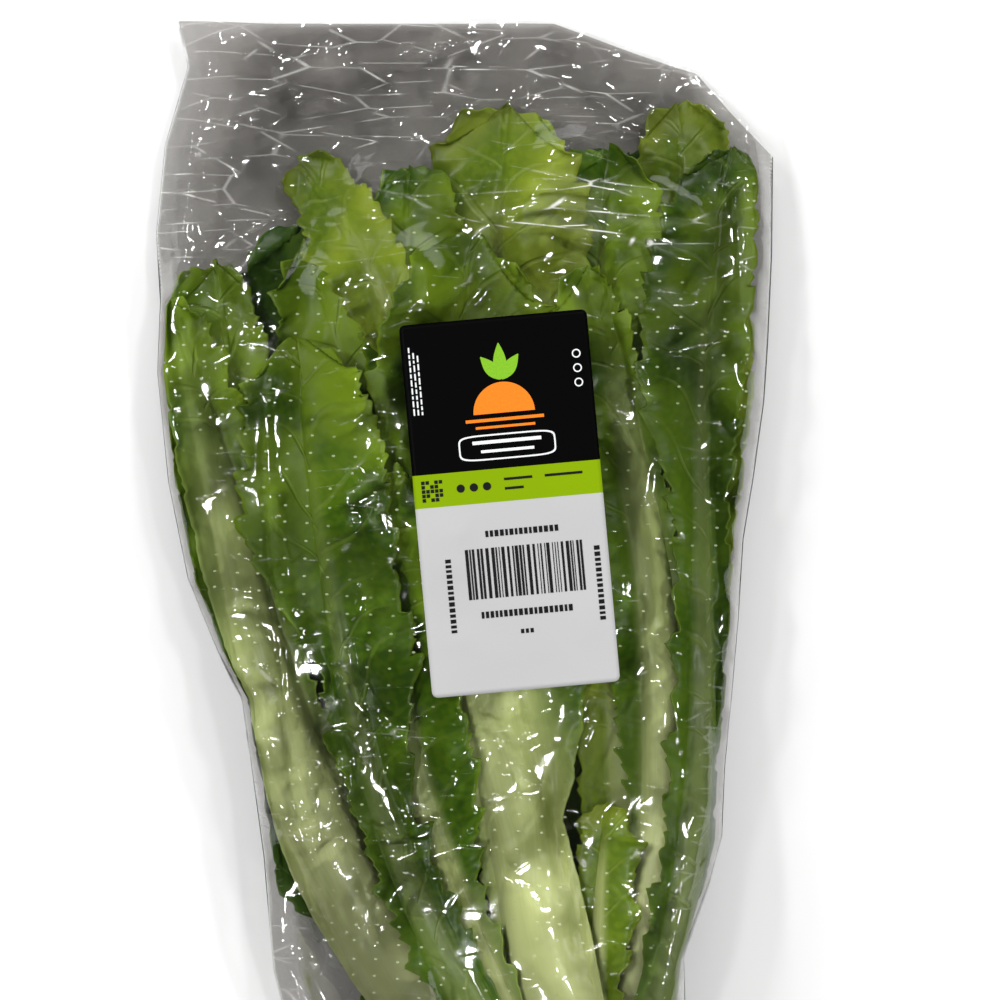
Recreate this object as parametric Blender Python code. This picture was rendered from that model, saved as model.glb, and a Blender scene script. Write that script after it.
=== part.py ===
"""An escarole lying on its back leaves in a clear produce bag with a sticker on the front.

The head is a cut crown and its leaves, piled from the back leaves up to the front ones.
Each leaf is a loft: a thick pale stalk at the crown, thinning to a toothed blade at the tip.
The bag is a flat film sack, open at the leaf tips, that the pile spreads apart.
Metres, +Z up, +Y from the crown to the leaf tips, origin under the middle of the bag.
"""

import math
from dataclasses import dataclass

import bpy
import numpy as np

# The cut crown, a short stub lying on its side at the root end of the pile.
ROOT_Y = -0.1585
CROWN_X = 0.031
CROWN_HALF_WIDTH = 0.030
CROWN_LENGTH = 0.011
CROWN_SIDES = 14
CROWN_GAP = 0.0003
# The crown's sections from the leaves to the cut: share of its length, and scale.
CROWN_PROFILE = ((0.0, 0.97), (0.22, 1.0), (0.6, 0.95), (0.9, 0.86), (1.0, 0.80))

# Leaf blades and stalks.
BLADE = 0.0008
LEAST_STALK = 0.0006
STRAIGHT_TO = 0.16
WING = 0.003
ROUND_FROM = 0.80
TIP_WIDTH = 0.30
TIP_SWEEP = 0.42
LOBE = 0.07
STALK_MOST = 0.82
ROOT_THINNING = 0.35

# The teeth and the waves of the margin.
TOOTH_REACH = 0.0042
TOOTH_LEAN = 0.35
BARE_TO = 0.10
RUFFLE = 0.0032
RUFFLE_WAVE = 0.043
RUFFLE_FROM, RUFFLE_TO = 0.06, 0.14

# The film sack, laid flat: half outlines as (x, y) from the mouth to the weld.
FILM = 0.0005
BAG_LEFT = (
    (-0.0942, 0.1783), (-0.0906, 0.1634), (-0.0981, 0.1376), (-0.1010, 0.1086),
    (-0.0997, 0.0860), (-0.1006, 0.0634), (-0.0971, 0.0279), (-0.0906, -0.0043),
    (-0.0813, -0.0269), (-0.0729, -0.0430), (-0.0690, -0.0688), (-0.0652, -0.0946),
    (-0.0619, -0.1317), (-0.0560, -0.1559), (-0.0500, -0.1783),
)
BAG_RIGHT = (
    (0.1010, 0.1337), (0.1007, 0.1021), (0.0994, 0.0731), (0.0981, 0.0537),
    (0.0945, 0.0279), (0.0913, 0.0086), (0.0897, -0.0172), (0.0874, -0.0430),
    (0.0850, -0.0656), (0.0838, -0.0882), (0.0795, -0.1027), (0.0728, -0.1205),
    (0.0712, -0.1253), (0.0716, -0.1317), (0.0722, -0.1527), (0.0690, -0.1783),
)
BAG_MOUTH = (
    (-0.0942, 0.1783), (0.0294, 0.1783), (0.0568, 0.1679),
    (0.0761, 0.1615), (0.0890, 0.1466), (0.1010, 0.1337),
)
BAG_END_Y = -0.1980
BAG_COLUMNS, BAG_ROWS = 15, 28
FOLD_HEIGHT, NECK_FOLD_HEIGHT = 0.009, 0.021
NECK_Y, NECK_SPAN = -0.112, 0.050
FOLD_REACH = 0.038
FOLD_INSET = 0.0012
WELD = 0.005
MOUTH_GAP = 0.0004
FOLD_CLEAR, BACK_FOLD_CLEAR, FOLD_SLACK = 0.0060, 0.0200, 0.0090

# The sticker.
LABEL_WIDTH, LABEL_LENGTH, LABEL_PAPER = 0.060, 0.119, 0.0004
LABEL_CENTRE = (0.0146, 0.0204)
LABEL_TURN = math.radians(5.2)
LABEL_COLUMNS, LABEL_ROWS = 4, 8

# How the pile settles: clearance, the height map's cell, and one step of sinking and smoothing.
AIR = 0.0010
GAP = 0.0004
CELL = 0.002
MAP_HALF_X, MAP_HALF_Y = 0.112, 0.208
DROP_FROM = 0.003
SINK = 0.00022
MARGIN_LIMP = 6.0
SMOOTHING = 0.45
STEPS = 270
LEAST_HOLD = 0.55
EDGE_SAMPLES = 9

OUTER_UP, OUTER_DOWN = 1, -1


@dataclass(frozen=True)
class Leaf:
    """One leaf: its rib's course in plan, its widths, its stalk's depth and which side is up."""

    name: str
    root_x: float
    leaving: tuple
    arriving: tuple
    tip: tuple
    left: float
    right: float
    stalk_width: float
    stalk_depth: float
    side_up: int
    rows: int = 14
    ribbed: bool = False
    taper: float = 0.9
    broaden: tuple = (0.06, 0.55)


# From the back leaves, which lie undermost, up to the front ones.
LEAVES = (
    Leaf("back_leaf_1", 0.016, (-0.014, -0.091), (-0.043, 0.002), (-0.046, 0.112),
         0.038, 0.036, 0.022, 0.0042, OUTER_DOWN),
    Leaf("back_leaf_2", 0.047, (0.058, -0.082), (0.054, 0.028), (0.054, 0.134),
         0.036, 0.028, 0.022, 0.0042, OUTER_DOWN),
    Leaf("back_leaf_3", 0.026, (0.012, -0.075), (-0.004, 0.038), (-0.006, 0.128),
         0.036, 0.036, 0.018, 0.0038, OUTER_DOWN),
    Leaf("back_leaf_4", 0.002, (-0.052, -0.112), (-0.074, -0.011), (-0.078, 0.070),
         0.014, 0.022, 0.018, 0.0040, OUTER_DOWN),
    Leaf("back_leaf_5", 0.058, (0.070, -0.108), (0.066, -0.011), (0.070, 0.094),
         0.022, 0.016, 0.018, 0.0040, OUTER_DOWN),
    Leaf("back_leaf_6", 0.038, (0.037, -0.075), (0.028, 0.038), (0.024, 0.130),
         0.034, 0.034, 0.016, 0.0034, OUTER_DOWN),
    Leaf("inner_leaf_1", 0.049, (0.068, -0.057), (0.078, 0.046), (0.070, 0.150),
         0.018, 0.020, 0.013, 0.0028, OUTER_DOWN),
    Leaf("inner_leaf_2", 0.041, (0.050, -0.061), (0.037, 0.037), (0.047, 0.135),
         0.024, 0.022, 0.012, 0.0026, OUTER_DOWN),
    Leaf("inner_leaf_3", 0.033, (0.014, -0.058), (0.003, 0.045), (0.014, 0.149),
         0.027, 0.031, 0.012, 0.0028, OUTER_DOWN),
    Leaf("inner_leaf_4", 0.016, (-0.026, -0.077), (-0.019, 0.019), (-0.051, 0.103),
         0.018, 0.023, 0.012, 0.0026, OUTER_UP),
    Leaf("inner_leaf_5", 0.025, (0.004, -0.064), (-0.022, 0.032), (-0.018, 0.129),
         0.015, 0.019, 0.012, 0.0026, OUTER_UP),
    Leaf("inner_leaf_6", 0.031, (0.004, -0.063), (0.012, 0.049), (-0.053, 0.131),
         0.013, 0.012, 0.010, 0.0030, OUTER_UP, 14, False, 0.5, (0.60, 0.92)),
    Leaf("heart_leaf_1", 0.042, (0.055, -0.118), (0.055, -0.080), (0.044, -0.010),
         0.012, 0.012, 0.013, 0.0030, OUTER_UP, 10, False, 0.4),
    Leaf("small_leaf", 0.057, (0.064, -0.134), (0.063, -0.107), (0.078, -0.085),
         0.006, 0.010, 0.006, 0.0018, OUTER_UP, 7),
    Leaf("side_leaf_left", 0.005, (-0.050, -0.085), (-0.072, 0.007), (-0.081, 0.097),
         0.008, 0.012, 0.012, 0.0034, OUTER_UP, 16, True),
    Leaf("front_leaf_left", 0.002, (-0.064, -0.096), (-0.068, 0.004), (-0.096, 0.086),
         0.010, 0.009, 0.026, 0.0080, OUTER_UP, 18, True, 0.7),
    Leaf("front_leaf_right", 0.050, (0.076, -0.072), (0.063, 0.012), (0.040, 0.096),
         0.017, 0.007, 0.014, 0.0044, OUTER_UP, 18, True, 0.38),
    Leaf("side_leaf_right", 0.056, (0.095, -0.063), (0.062, 0.037), (0.087, 0.134),
         0.019, 0.013, 0.012, 0.0030, OUTER_UP, 16, True),
    Leaf("heart_leaf_2", 0.043, (0.043, -0.132), (0.043, -0.105), (0.047, -0.078),
         0.007, 0.008, 0.006, 0.0018, OUTER_UP, 7),
    Leaf("front_leaf_middle", 0.032, (0.023, -0.071), (-0.022, 0.012), (0.002, 0.103),
         0.022, 0.034, 0.026, 0.0074, OUTER_UP, 18, True),
    Leaf("front_leaf_second", 0.019, (-0.014, -0.103), (-0.030, -0.037), (-0.023, 0.028),
         0.014, 0.020, 0.014, 0.0050, OUTER_UP, 16, True, 0.7),
    Leaf("front_leaf_inner", 0.016, (-0.037, -0.092), (-0.042, -0.010), (-0.054, 0.070),
         0.022, 0.021, 0.012, 0.0040, OUTER_UP, 18, True),
)


def eased(low, high, value):
    """0 below low, 1 above high and a smooth rise between them."""
    share = np.clip((value - low) / (high - low), 0.0, 1.0)
    return share * share * (3.0 - 2.0 * share)


def clear_scene():
    """Remove what the scene already holds."""
    for thing in list(bpy.data.objects):
        bpy.data.objects.remove(thing)


def make_material(name, colour, roughness, alpha=1.0):
    """A plain Principled finish."""
    finish = bpy.data.materials.new(name)
    finish.use_nodes = True
    shader = finish.node_tree.nodes["Principled BSDF"]
    shader.inputs["Base Color"].default_value = (*colour, 1.0)
    shader.inputs["Roughness"].default_value = roughness
    shader.inputs["Metallic"].default_value = 0.0
    shader.inputs["Alpha"].default_value = alpha
    return finish


def add_solid(name, corners, faces, finish, collection):
    """Make one named object from corners and faces."""
    mesh = bpy.data.meshes.new(name)
    mesh.from_pydata([tuple(map(float, corner)) for corner in corners], [], faces)
    mesh.materials.append(finish)
    mesh.validate()
    mesh.shade_smooth()
    mesh.set_sharp_from_angle(angle=math.radians(50.0))
    solid = bpy.data.objects.new(name, mesh)
    collection.objects.link(solid)
    return solid


class Ground:
    """A height map of all that has been laid down so far."""

    def __init__(self):
        columns = int(round(2 * MAP_HALF_X / CELL))
        rows = int(round(2 * MAP_HALF_Y / CELL))
        self.height = np.zeros((columns, rows))

    def covered(self, plan, triangles):
        """The cells under each triangle and corner of a sheet, with the corners and weights there."""
        found = []
        for triangle in triangles:
            a, b, c = plan[list(triangle)]
            low = np.floor((np.minimum(np.minimum(a, b), c) + (MAP_HALF_X, MAP_HALF_Y)) / CELL)
            high = np.ceil((np.maximum(np.maximum(a, b), c) + (MAP_HALF_X, MAP_HALF_Y)) / CELL)
            columns, rows = np.meshgrid(
                np.arange(low[0], high[0] + 1), np.arange(low[1], high[1] + 1), indexing="ij"
            )
            at = np.stack([columns.ravel(), rows.ravel()], axis=1)
            centre = (at + 0.5) * CELL - (MAP_HALF_X, MAP_HALF_Y)
            whole = (b[0] - a[0]) * (c[1] - a[1]) - (b[1] - a[1]) * (c[0] - a[0])
            if abs(whole) < 1e-12:
                continue
            to = centre - a
            second = (to[:, 0] * (c[1] - a[1]) - to[:, 1] * (c[0] - a[0])) / whole
            third = ((b[0] - a[0]) * to[:, 1] - (b[1] - a[1]) * to[:, 0]) / whole
            first = 1.0 - second - third
            near = 0.5 * CELL / math.sqrt(abs(whole))
            inside = (first > -near) & (second > -near) & (third > -near)
            weights = np.stack([first, second, third], axis=1)[inside]
            weights = np.clip(weights, 0.0, 1.0)
            weights /= weights.sum(axis=1, keepdims=True)
            cells = at[inside].astype(int)
            found.append((cells, np.tile(triangle, (len(cells), 1)), weights))
        pairs = edge_pairs(triangles)
        for share in np.linspace(0.0, 1.0, EDGE_SAMPLES):
            at = (1.0 - share) * plan[pairs[:, 0]] + share * plan[pairs[:, 1]]
            cells = np.floor((at + (MAP_HALF_X, MAP_HALF_Y)) / CELL).astype(int)
            ends = np.stack([pairs[:, 0], pairs[:, 1], pairs[:, 1]], axis=1)
            found.append((cells, ends, np.tile((1.0 - share, share, 0.0), (len(pairs), 1))))
        cells, corners, weights = (np.concatenate([entry[i] for entry in found]) for i in range(3))
        return np.clip(cells, 0, np.array(self.height.shape) - 1), corners, weights

    def widened(self):
        """The map with each cell raised to the highest of its neighbours."""
        padded = np.pad(self.height, 1, mode="edge")
        shifts = [
            padded[1 + i : padded.shape[0] - 1 + i, 1 + j : padded.shape[1] - 1 + j]
            for i in (-1, 0, 1)
            for j in (-1, 0, 1)
        ]
        return np.max(shifts, axis=0)

    def cover(self, contact, top):
        """Raise the map to a sheet's upper side."""
        cells, corners, weights = contact
        level = (weights * top[corners]).sum(axis=1)
        np.maximum.at(self.height, (cells[:, 0], cells[:, 1]), level)


def settle(ground, contact, edges, start, under, clear=GAP, held=None, limp=1.0):
    """Let a sheet down on the pile until it rests, smooth and clear of everything below.

    The sheet's smooth surface is at start, and its underside hangs lower by under. Points
    marked in held keep their height, and points sink the faster the more limp they are.
    """
    cells, corners, weights = contact
    floor = ground.widened()[cells[:, 0], cells[:, 1]] + clear
    held = np.zeros(len(start), bool) if held is None else held
    free = weights * ~held[corners]
    square = np.maximum((free**2).sum(axis=1), LEAST_HOLD**2)
    whole = np.maximum(free.sum(axis=1), LEAST_HOLD)
    surface = start.copy()
    ends = np.concatenate([edges, edges[:, ::-1]])
    count = np.bincount(ends[:, 0], minlength=len(start))

    def lift(nearest):
        level = (weights * (surface - under)[corners]).sum(axis=1)
        short = np.maximum(floor - level, 0.0)
        need = np.zeros(len(surface))
        for corner in range(3):
            part = short * free[:, corner] / square if nearest else short / whole
            np.maximum.at(need, corners[:, corner], part)
        need[held] = 0.0
        return need

    for _ in range(STEPS):
        around = np.bincount(ends[:, 0], surface[ends[:, 1]], minlength=len(start)) / count
        moved = surface + SMOOTHING * (around - surface) - SINK * limp
        surface = np.where(held, surface, moved)
        for _ in range(3):
            surface = surface + lift(True)
    for _ in range(4):
        surface = surface + lift(False)
    return surface


def edge_pairs(triangles):
    """Each side of the triangles once."""
    triangles = np.asarray(triangles)
    sides = np.concatenate([triangles[:, [0, 1]], triangles[:, [1, 2]], triangles[:, [2, 0]]])
    return np.unique(np.sort(sides, axis=1), axis=0)


class LeafSheet:
    """A leaf's plan: rows across its rib, and a tooth on the margin between each two rows."""

    def __init__(self, leaf, number):
        self.leaf = leaf
        self.number = number
        share = np.linspace(0.0, 1.0, leaf.rows + 1)
        self.along = 1.0 - (1.0 - share) ** 1.2
        inner = (-1.0, -0.5, 0.0, 0.5, 1.0) if leaf.ribbed else (-1.0, 0.0, 1.0)
        self.across = np.array([-2.0, -1.5, *inner, 1.5, 2.0])
        self.columns = len(self.across)
        plan, depth, out = [], [], []
        for row, (centre, heading, sideways, widths, stalk) in enumerate(self._rows()):
            for step in self.across:
                width = widths[0] if step < 0 else widths[1]
                reach = self._reach(step, min(stalk, STALK_MOST * width), width)
                share = abs(reach) / width
                back = heading * (TIP_SWEEP * self.along[row] * width * share**2)
                plan.append(centre + sideways * reach - back)
                depth.append(self._depth(step, row))
                out.append(share)
        self.triangles = []
        for row in range(leaf.rows):
            for column in range(self.columns - 1):
                a = row * self.columns + column
                b, c, d = a + 1, a + self.columns + 1, a + self.columns
                self.triangles += [(a, b, c), (a, c, d)] if column % 2 else [(a, b, d), (b, c, d)]
        self.clear = BACK_FOLD_CLEAR if leaf.side_up == OUTER_DOWN else FOLD_CLEAR
        plan = list(within_bag(np.array(plan), self.clear))
        self._add_teeth(plan, depth, out)
        self.plan = np.array(plan)
        self.depth = np.array(depth)
        self.out = np.array(out)

    def _rows(self):
        """Each row's middle, the headings along and across it, and its half widths."""
        leaf = self.leaf
        root = np.array((leaf.root_x, ROOT_Y))
        one, two, tip = map(np.array, (leaf.leaving, leaf.arriving, leaf.tip))
        for row, v in enumerate(self.along):
            w = 1.0 - v
            centre = w**3 * root + 3 * w**2 * v * one + 3 * w * v**2 * two + v**3 * tip
            heading = w**2 * (one - root) + 2 * w * v * (two - one) + v**2 * (tip - two)
            heading /= np.linalg.norm(heading)
            level = eased(0.0, STRAIGHT_TO, v)
            sideways = np.array((heading[1] * level + 1.0 - level, -heading[0] * level))
            sideways /= np.linalg.norm(sideways)
            stalk = 0.5 * leaf.stalk_width * w**leaf.taper + LEAST_STALK
            narrow = 0.5 * leaf.stalk_width * (1.0 - 0.5 * v) + WING
            beyond = np.clip((v - ROUND_FROM) / (1.0 - ROUND_FROM), 0.0, 1.0)
            rounding = math.sqrt(1.0 - (1.0 - TIP_WIDTH**2) * beyond**2)
            widths = []
            for side, half in enumerate((leaf.left, leaf.right)):
                lobe = 1.0 + LOBE * math.sin(1.9 * row + 2.3 * side + self.number)
                broad = half * lobe * eased(*leaf.broaden, v)
                widths.append(max(broad, narrow) * rounding)
            yield centre, heading, sideways, widths, stalk

    def _reach(self, step, stalk, width):
        """How far across a column stands: steps to 1 cross the stalk, and to 2 the blade."""
        if abs(step) <= 1.0:
            return step * stalk
        return math.copysign(stalk + (abs(step) - 1.0) * (width - stalk), step)

    def _depth(self, step, row):
        """The leaf's thickness: a rounded stalk that thins towards the tip, on a thin blade."""
        if abs(step) >= 1.0:
            return BLADE
        v = self.along[row]
        thinning = 1.0 - ROOT_THINNING * (1.0 - eased(0.0, STRAIGHT_TO, v))
        swell = self.leaf.stalk_depth * thinning * (1.0 - v) ** 0.8
        return BLADE + swell * math.sqrt(1.0 - step**2)

    def _add_teeth(self, plan, depth, out):
        """Put a pointed tooth on each stretch of the margin above the stalk, leaning to the tip."""
        rows, wide = self.leaf.rows, self.columns
        right = [row * wide + wide - 1 for row in range(rows + 1)]
        top = [rows * wide + column for column in range(wide - 1, -1, -1)]
        left = [row * wide for row in range(rows, -1, -1)]
        rim = list(range(wide - 1))
        for side, line, lean in (("right", right, 1), ("top", top, 0), ("left", left, -1)):
            for place, (first, second) in enumerate(zip(line[:-1], line[1:])):
                rim.append(first)
                a, b = np.array(plan[first]), np.array(plan[second])
                run = b - a
                if side != "top" and self._is_bare(place if side == "right" else rows - 1 - place):
                    continue
                outward = np.array((run[1], -run[0])) / np.linalg.norm(run)
                size = 1.0 + 0.45 * math.sin(2.6 * place + 1.3 * self.number)
                middle = 0.5 * (a + b)
                reach = min(TOOTH_REACH * size, 0.5 * np.linalg.norm(run), 0.4 * bag_room(middle))
                plan.append(middle + outward * reach + run * (lean * TOOTH_LEAN))
                depth.append(BLADE)
                out.append(1.1)
                tooth = len(plan) - 1
                self.triangles.append((first, tooth, second))
                rim.append(tooth)
        self.margin = rim

    def _is_bare(self, row):
        """The lowest stretches run along the stalk and have no teeth."""
        return self.along[row] < BARE_TO


def grid_triangles(rows, columns):
    """Two triangles for each cell of a grid whose points run row by row."""
    triangles = []
    for row in range(rows - 1):
        for column in range(columns - 1):
            a = row * columns + column
            b, c, d = a + 1, a + columns + 1, a + columns
            triangles += [(a, b, c), (a, c, d)]
    return triangles


def bag_room(point):
    """How far a plan point is from the nearer fold of the sack."""
    return min(point[0] - bag_side(BAG_LEFT, point[1]), bag_side(BAG_RIGHT, point[1]) - point[0])


def within_bag(plan, clear):
    """The plan points with those near the sack's folds pushed softly back inside them."""
    result = plan.copy()
    for points, side in ((BAG_LEFT, 1.0), (BAG_RIGHT, -1.0)):
        fold = bag_side(points, result[:, 1])
        room = side * (result[:, 0] - fold)
        near = clear + FOLD_SLACK
        squeezed = clear + FOLD_SLACK * np.exp((np.minimum(room, near) - near) / FOLD_SLACK)
        result[:, 0] = np.where(room < near, fold + side * squeezed, result[:, 0])
    return result


def turned_up(plan, triangles):
    """A sheet's triangles, all turned over if they face down."""
    a, b, c = (plan[np.asarray(triangles)[:, corner]] for corner in range(3))
    twice = (b - a)[:, 0] * (c - a)[:, 1] - (b - a)[:, 1] * (c - a)[:, 0]
    return triangles if twice.sum() > 0 else [face[::-1] for face in triangles]


def close_sheet(plan, triangles, rim, low, high):
    """Corners and faces of the solid between a sheet's underside and its top."""
    count = len(plan)
    corners = [(*plan[i], low[i]) for i in range(count)] + [(*plan[i], high[i]) for i in range(count)]
    faces = [tuple(count + i for i in face) for face in triangles]
    faces += [face[::-1] for face in triangles]
    area = sum(
        plan[rim[i - 1]][0] * plan[rim[i]][1] - plan[rim[i]][0] * plan[rim[i - 1]][1]
        for i in range(len(rim))
    )
    ring = rim if area > 0 else rim[::-1]
    for index, first in enumerate(ring):
        second = ring[(index + 1) % len(ring)]
        faces += [(first, second, count + second), (first, count + second, count + first)]
    return corners, faces


def build_leaf(leaf, number, ground, finish, collection):
    """Lay one leaf on the pile and make its solid."""
    sheet = LeafSheet(leaf, number)
    triangles = turned_up(sheet.plan, sheet.triangles)
    contact = ground.covered(sheet.plan, triangles)
    swell = sheet.depth - BLADE
    under = swell if leaf.side_up == OUTER_DOWN else np.zeros(len(swell))
    start = np.full(len(sheet.plan), ground.height.max() + DROP_FROM)
    out = np.clip(sheet.out, 0.0, 1.0)
    limp = 1.0 + MARGIN_LIMP * out**2
    surface = settle(ground, contact, edge_pairs(triangles), start, under, AIR, limp=limp)
    up = sheet.plan[:, 1] - ROOT_Y
    waves = np.sin(2 * math.pi * up / RUFFLE_WAVE + 1.7 * number)
    ruffle = RUFFLE * out**2 * eased(RUFFLE_FROM, RUFFLE_TO, up) * (0.5 + 0.5 * waves)
    low = surface - under + ruffle
    high = low + sheet.depth
    ground.cover(contact, high)
    corners, faces = close_sheet(sheet.plan, triangles, sheet.margin, low, high)
    add_solid(leaf.name, corners, faces, finish, collection)
    return low[: sheet.columns], high[: sheet.columns]


def build_crown(bottom, top, ground, finish, collection):
    """The cut stub that the leaves grow from: an oval disc, rounded towards the cut."""
    half_height, half_width = 0.5 * (top - bottom), CROWN_HALF_WIDTH
    middle = 0.5 * (top + bottom)
    front = ROOT_Y - CROWN_GAP
    corners, faces = [], []
    for share, scale in CROWN_PROFILE:
        for side in range(CROWN_SIDES):
            angle = 2 * math.pi * side / CROWN_SIDES
            corners.append(
                (
                    CROWN_X + half_width * scale * math.cos(angle),
                    front - share * CROWN_LENGTH,
                    middle + half_height * scale * math.sin(angle),
                )
            )
    for ring in range(len(CROWN_PROFILE) - 1):
        for side in range(CROWN_SIDES):
            after = (side + 1) % CROWN_SIDES
            a, b = ring * CROWN_SIDES + side, ring * CROWN_SIDES + after
            faces.append((a, b, b + CROWN_SIDES, a + CROWN_SIDES))
    faces.append(tuple(range(CROWN_SIDES))[::-1])
    faces.append(tuple(range(len(corners) - CROWN_SIDES, len(corners))))
    add_solid("crown", corners, faces, finish, collection)
    cover_crown(ground, front, middle, half_height)


def cover_crown(ground, front, middle, half_height):
    """Raise the height map to the crown's rounded upper side."""
    plan, top, triangles = [], [], []
    for column in range(CROWN_SIDES + 1):
        across = math.cos(math.pi * column / CROWN_SIDES)
        for y in (front, front - CROWN_LENGTH):
            plan.append((CROWN_X + CROWN_HALF_WIDTH * across, y))
            top.append(middle + half_height * math.sqrt(max(0.0, 1.0 - across * across)))
    for column in range(CROWN_SIDES):
        a = 2 * column
        triangles += [(a, a + 2, a + 3), (a, a + 3, a + 1)]
    ground.cover(ground.covered(np.array(plan), triangles), np.array(top))


def bag_side(points, y):
    """Where an edge of the flat sack is at this y."""
    order = sorted(points, key=lambda point: point[1])
    return np.interp(y, [point[1] for point in order], [point[0] for point in order])


def bag_plan():
    """The flat sack's grid of points, row by row from the mouth to the weld."""
    across = 0.5 - 0.5 * np.cos(np.pi * (0.12 + 0.76 * np.linspace(0, 1, BAG_COLUMNS + 1)))
    across = (across - across[0]) / (across[-1] - across[0])
    mouth_x = [point[0] for point in BAG_MOUTH]
    mouth_y = [point[1] for point in BAG_MOUTH]
    plan = np.zeros((BAG_ROWS + 1, BAG_COLUMNS + 1, 2))
    for row in range(BAG_ROWS + 1):
        for column, share in enumerate(across):
            start = np.interp(mouth_x[0] + share * (mouth_x[-1] - mouth_x[0]), mouth_x, mouth_y)
            y = start + (BAG_END_Y - start) * row / BAG_ROWS
            left, right = bag_side(BAG_LEFT, y), bag_side(BAG_RIGHT, y)
            plan[row, column] = (left + share * (right - left), y)
    return plan


def outline_distance(plan):
    """Each grid point's distance to the sack's folds and weld."""
    folds = [plan[:, 0], plan[:, -1], plan[-1]]
    distance = np.full(plan.shape[:2], np.inf)
    for line in folds:
        for a, b in zip(line[:-1], line[1:]):
            run = b - a
            share = np.clip(((plan - a) @ run) / (run @ run), 0.0, 1.0)
            near = a + share[..., None] * run
            distance = np.minimum(distance, np.linalg.norm(plan - near, axis=-1))
    return distance


def build_bag(plan, under, leaves, ground, finish, collection):
    """The film sack round the pile: two skins joined at the folds and the weld."""
    rows, columns = plan.shape[:2]
    flat = plan.reshape(-1, 2)
    triangles = turned_up(flat, grid_triangles(rows, columns))
    joined = np.zeros((rows, columns), bool)
    joined[:, 0] = joined[:, -1] = joined[-1] = True
    bottom_inside = (under + FILM).ravel()
    contact = ground.covered(flat, triangles)
    hangs_free = (contact[2] * ~joined.ravel()[contact[1]]).sum(axis=1) > LEAST_HOLD
    movable = hangs_free & leaves[contact[0][:, 0], contact[0][:, 1]]
    leaf_contact = tuple(part[movable] for part in contact)
    start = np.where(joined.ravel(), under.ravel(), ground.height.max() + DROP_FROM)
    flat_under = np.zeros(len(flat))
    top_inside = settle(
        ground, leaf_contact, edge_pairs(triangles), start, flat_under, held=joined.ravel()
    )
    top_inside = np.maximum(top_inside, bottom_inside + MOUTH_GAP).reshape(rows, columns)
    bottom_inside = bottom_inside.reshape(rows, columns)
    fold = under + 0.5 * FILM

    def inset(row, column):
        """The inner skin's point at a fold: drawn in from the outer one."""
        inner_row, inner_column = min(row, rows - 2), min(max(column, 1), columns - 2)
        run = plan[inner_row, inner_column] - plan[row, column]
        reach = WELD if row == rows - 1 else FOLD_INSET
        share = min(0.6, reach / np.linalg.norm(run))
        rise = bottom_inside[inner_row, inner_column] - fold[row, column]
        height = fold[row, column] + share * (rise + 0.3 * FILM)
        return (*(plan[row, column] + share * run), height)

    corners, index = [], {}
    for skin in ("outer", "inner"):
        for level in ("top", "bottom"):
            for row in range(rows):
                for column in range(columns):
                    if joined[row, column] and level == "bottom":
                        index[skin, level, row, column] = index[skin, "top", row, column]
                        continue
                    if joined[row, column]:
                        point = (
                            (*plan[row, column], fold[row, column])
                            if skin == "outer"
                            else inset(row, column)
                        )
                    elif level == "top":
                        lift = FILM if skin == "outer" else 0.0
                        point = (*plan[row, column], top_inside[row, column] + lift)
                    else:
                        drop = FILM if skin == "outer" else 0.0
                        point = (*plan[row, column], bottom_inside[row, column] - drop)
                    index[skin, level, row, column] = len(corners)
                    corners.append(point)
    faces = []
    for skin, level, upward in (
        ("outer", "top", True), ("outer", "bottom", False),
        ("inner", "top", False), ("inner", "bottom", True),
    ):
        for triangle in triangles:
            if joined.ravel()[list(triangle)].all():
                continue
            face = tuple(index[skin, level, i // columns, i % columns] for i in triangle)
            faces.append(face if upward else face[::-1])
    for level, forward in (("top", True), ("bottom", False)):
        for column in range(columns - 1):
            a = index["outer", level, 0, column]
            b = index["outer", level, 0, column + 1]
            c = index["inner", level, 0, column + 1]
            d = index["inner", level, 0, column]
            faces += [(a, b, c), (a, c, d)] if forward else [(c, b, a), (d, c, a)]
    faces = [face for face in faces if len(set(face)) == 3]
    add_solid("bag", corners, faces, finish, collection)
    ground.cover(contact, (top_inside + FILM).ravel())


def build_label(ground, finish, collection):
    """The sticker, lying on the film."""
    turn = np.array(
        ((math.cos(LABEL_TURN), -math.sin(LABEL_TURN)), (math.sin(LABEL_TURN), math.cos(LABEL_TURN)))
    )
    plan = []
    for row in range(LABEL_ROWS + 1):
        for column in range(LABEL_COLUMNS + 1):
            flat = (
                (column / LABEL_COLUMNS - 0.5) * LABEL_WIDTH,
                (row / LABEL_ROWS - 0.5) * LABEL_LENGTH,
            )
            plan.append(turn @ flat + LABEL_CENTRE)
    plan = np.array(plan)
    wide = LABEL_COLUMNS + 1
    triangles = grid_triangles(LABEL_ROWS + 1, wide)
    rim = list(range(wide)) + [row * wide + wide - 1 for row in range(1, LABEL_ROWS + 1)]
    rim += [LABEL_ROWS * wide + column for column in range(wide - 2, -1, -1)]
    rim += [row * wide for row in range(LABEL_ROWS - 1, 0, -1)]
    contact = ground.covered(plan, triangles)
    start = np.full(len(plan), ground.height.max() + DROP_FROM)
    low = settle(ground, contact, edge_pairs(triangles), start, np.zeros(len(plan)))
    corners, faces = close_sheet(plan, triangles, rim, low, low + LABEL_PAPER)
    add_solid("label", corners, faces, finish, collection)


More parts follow.
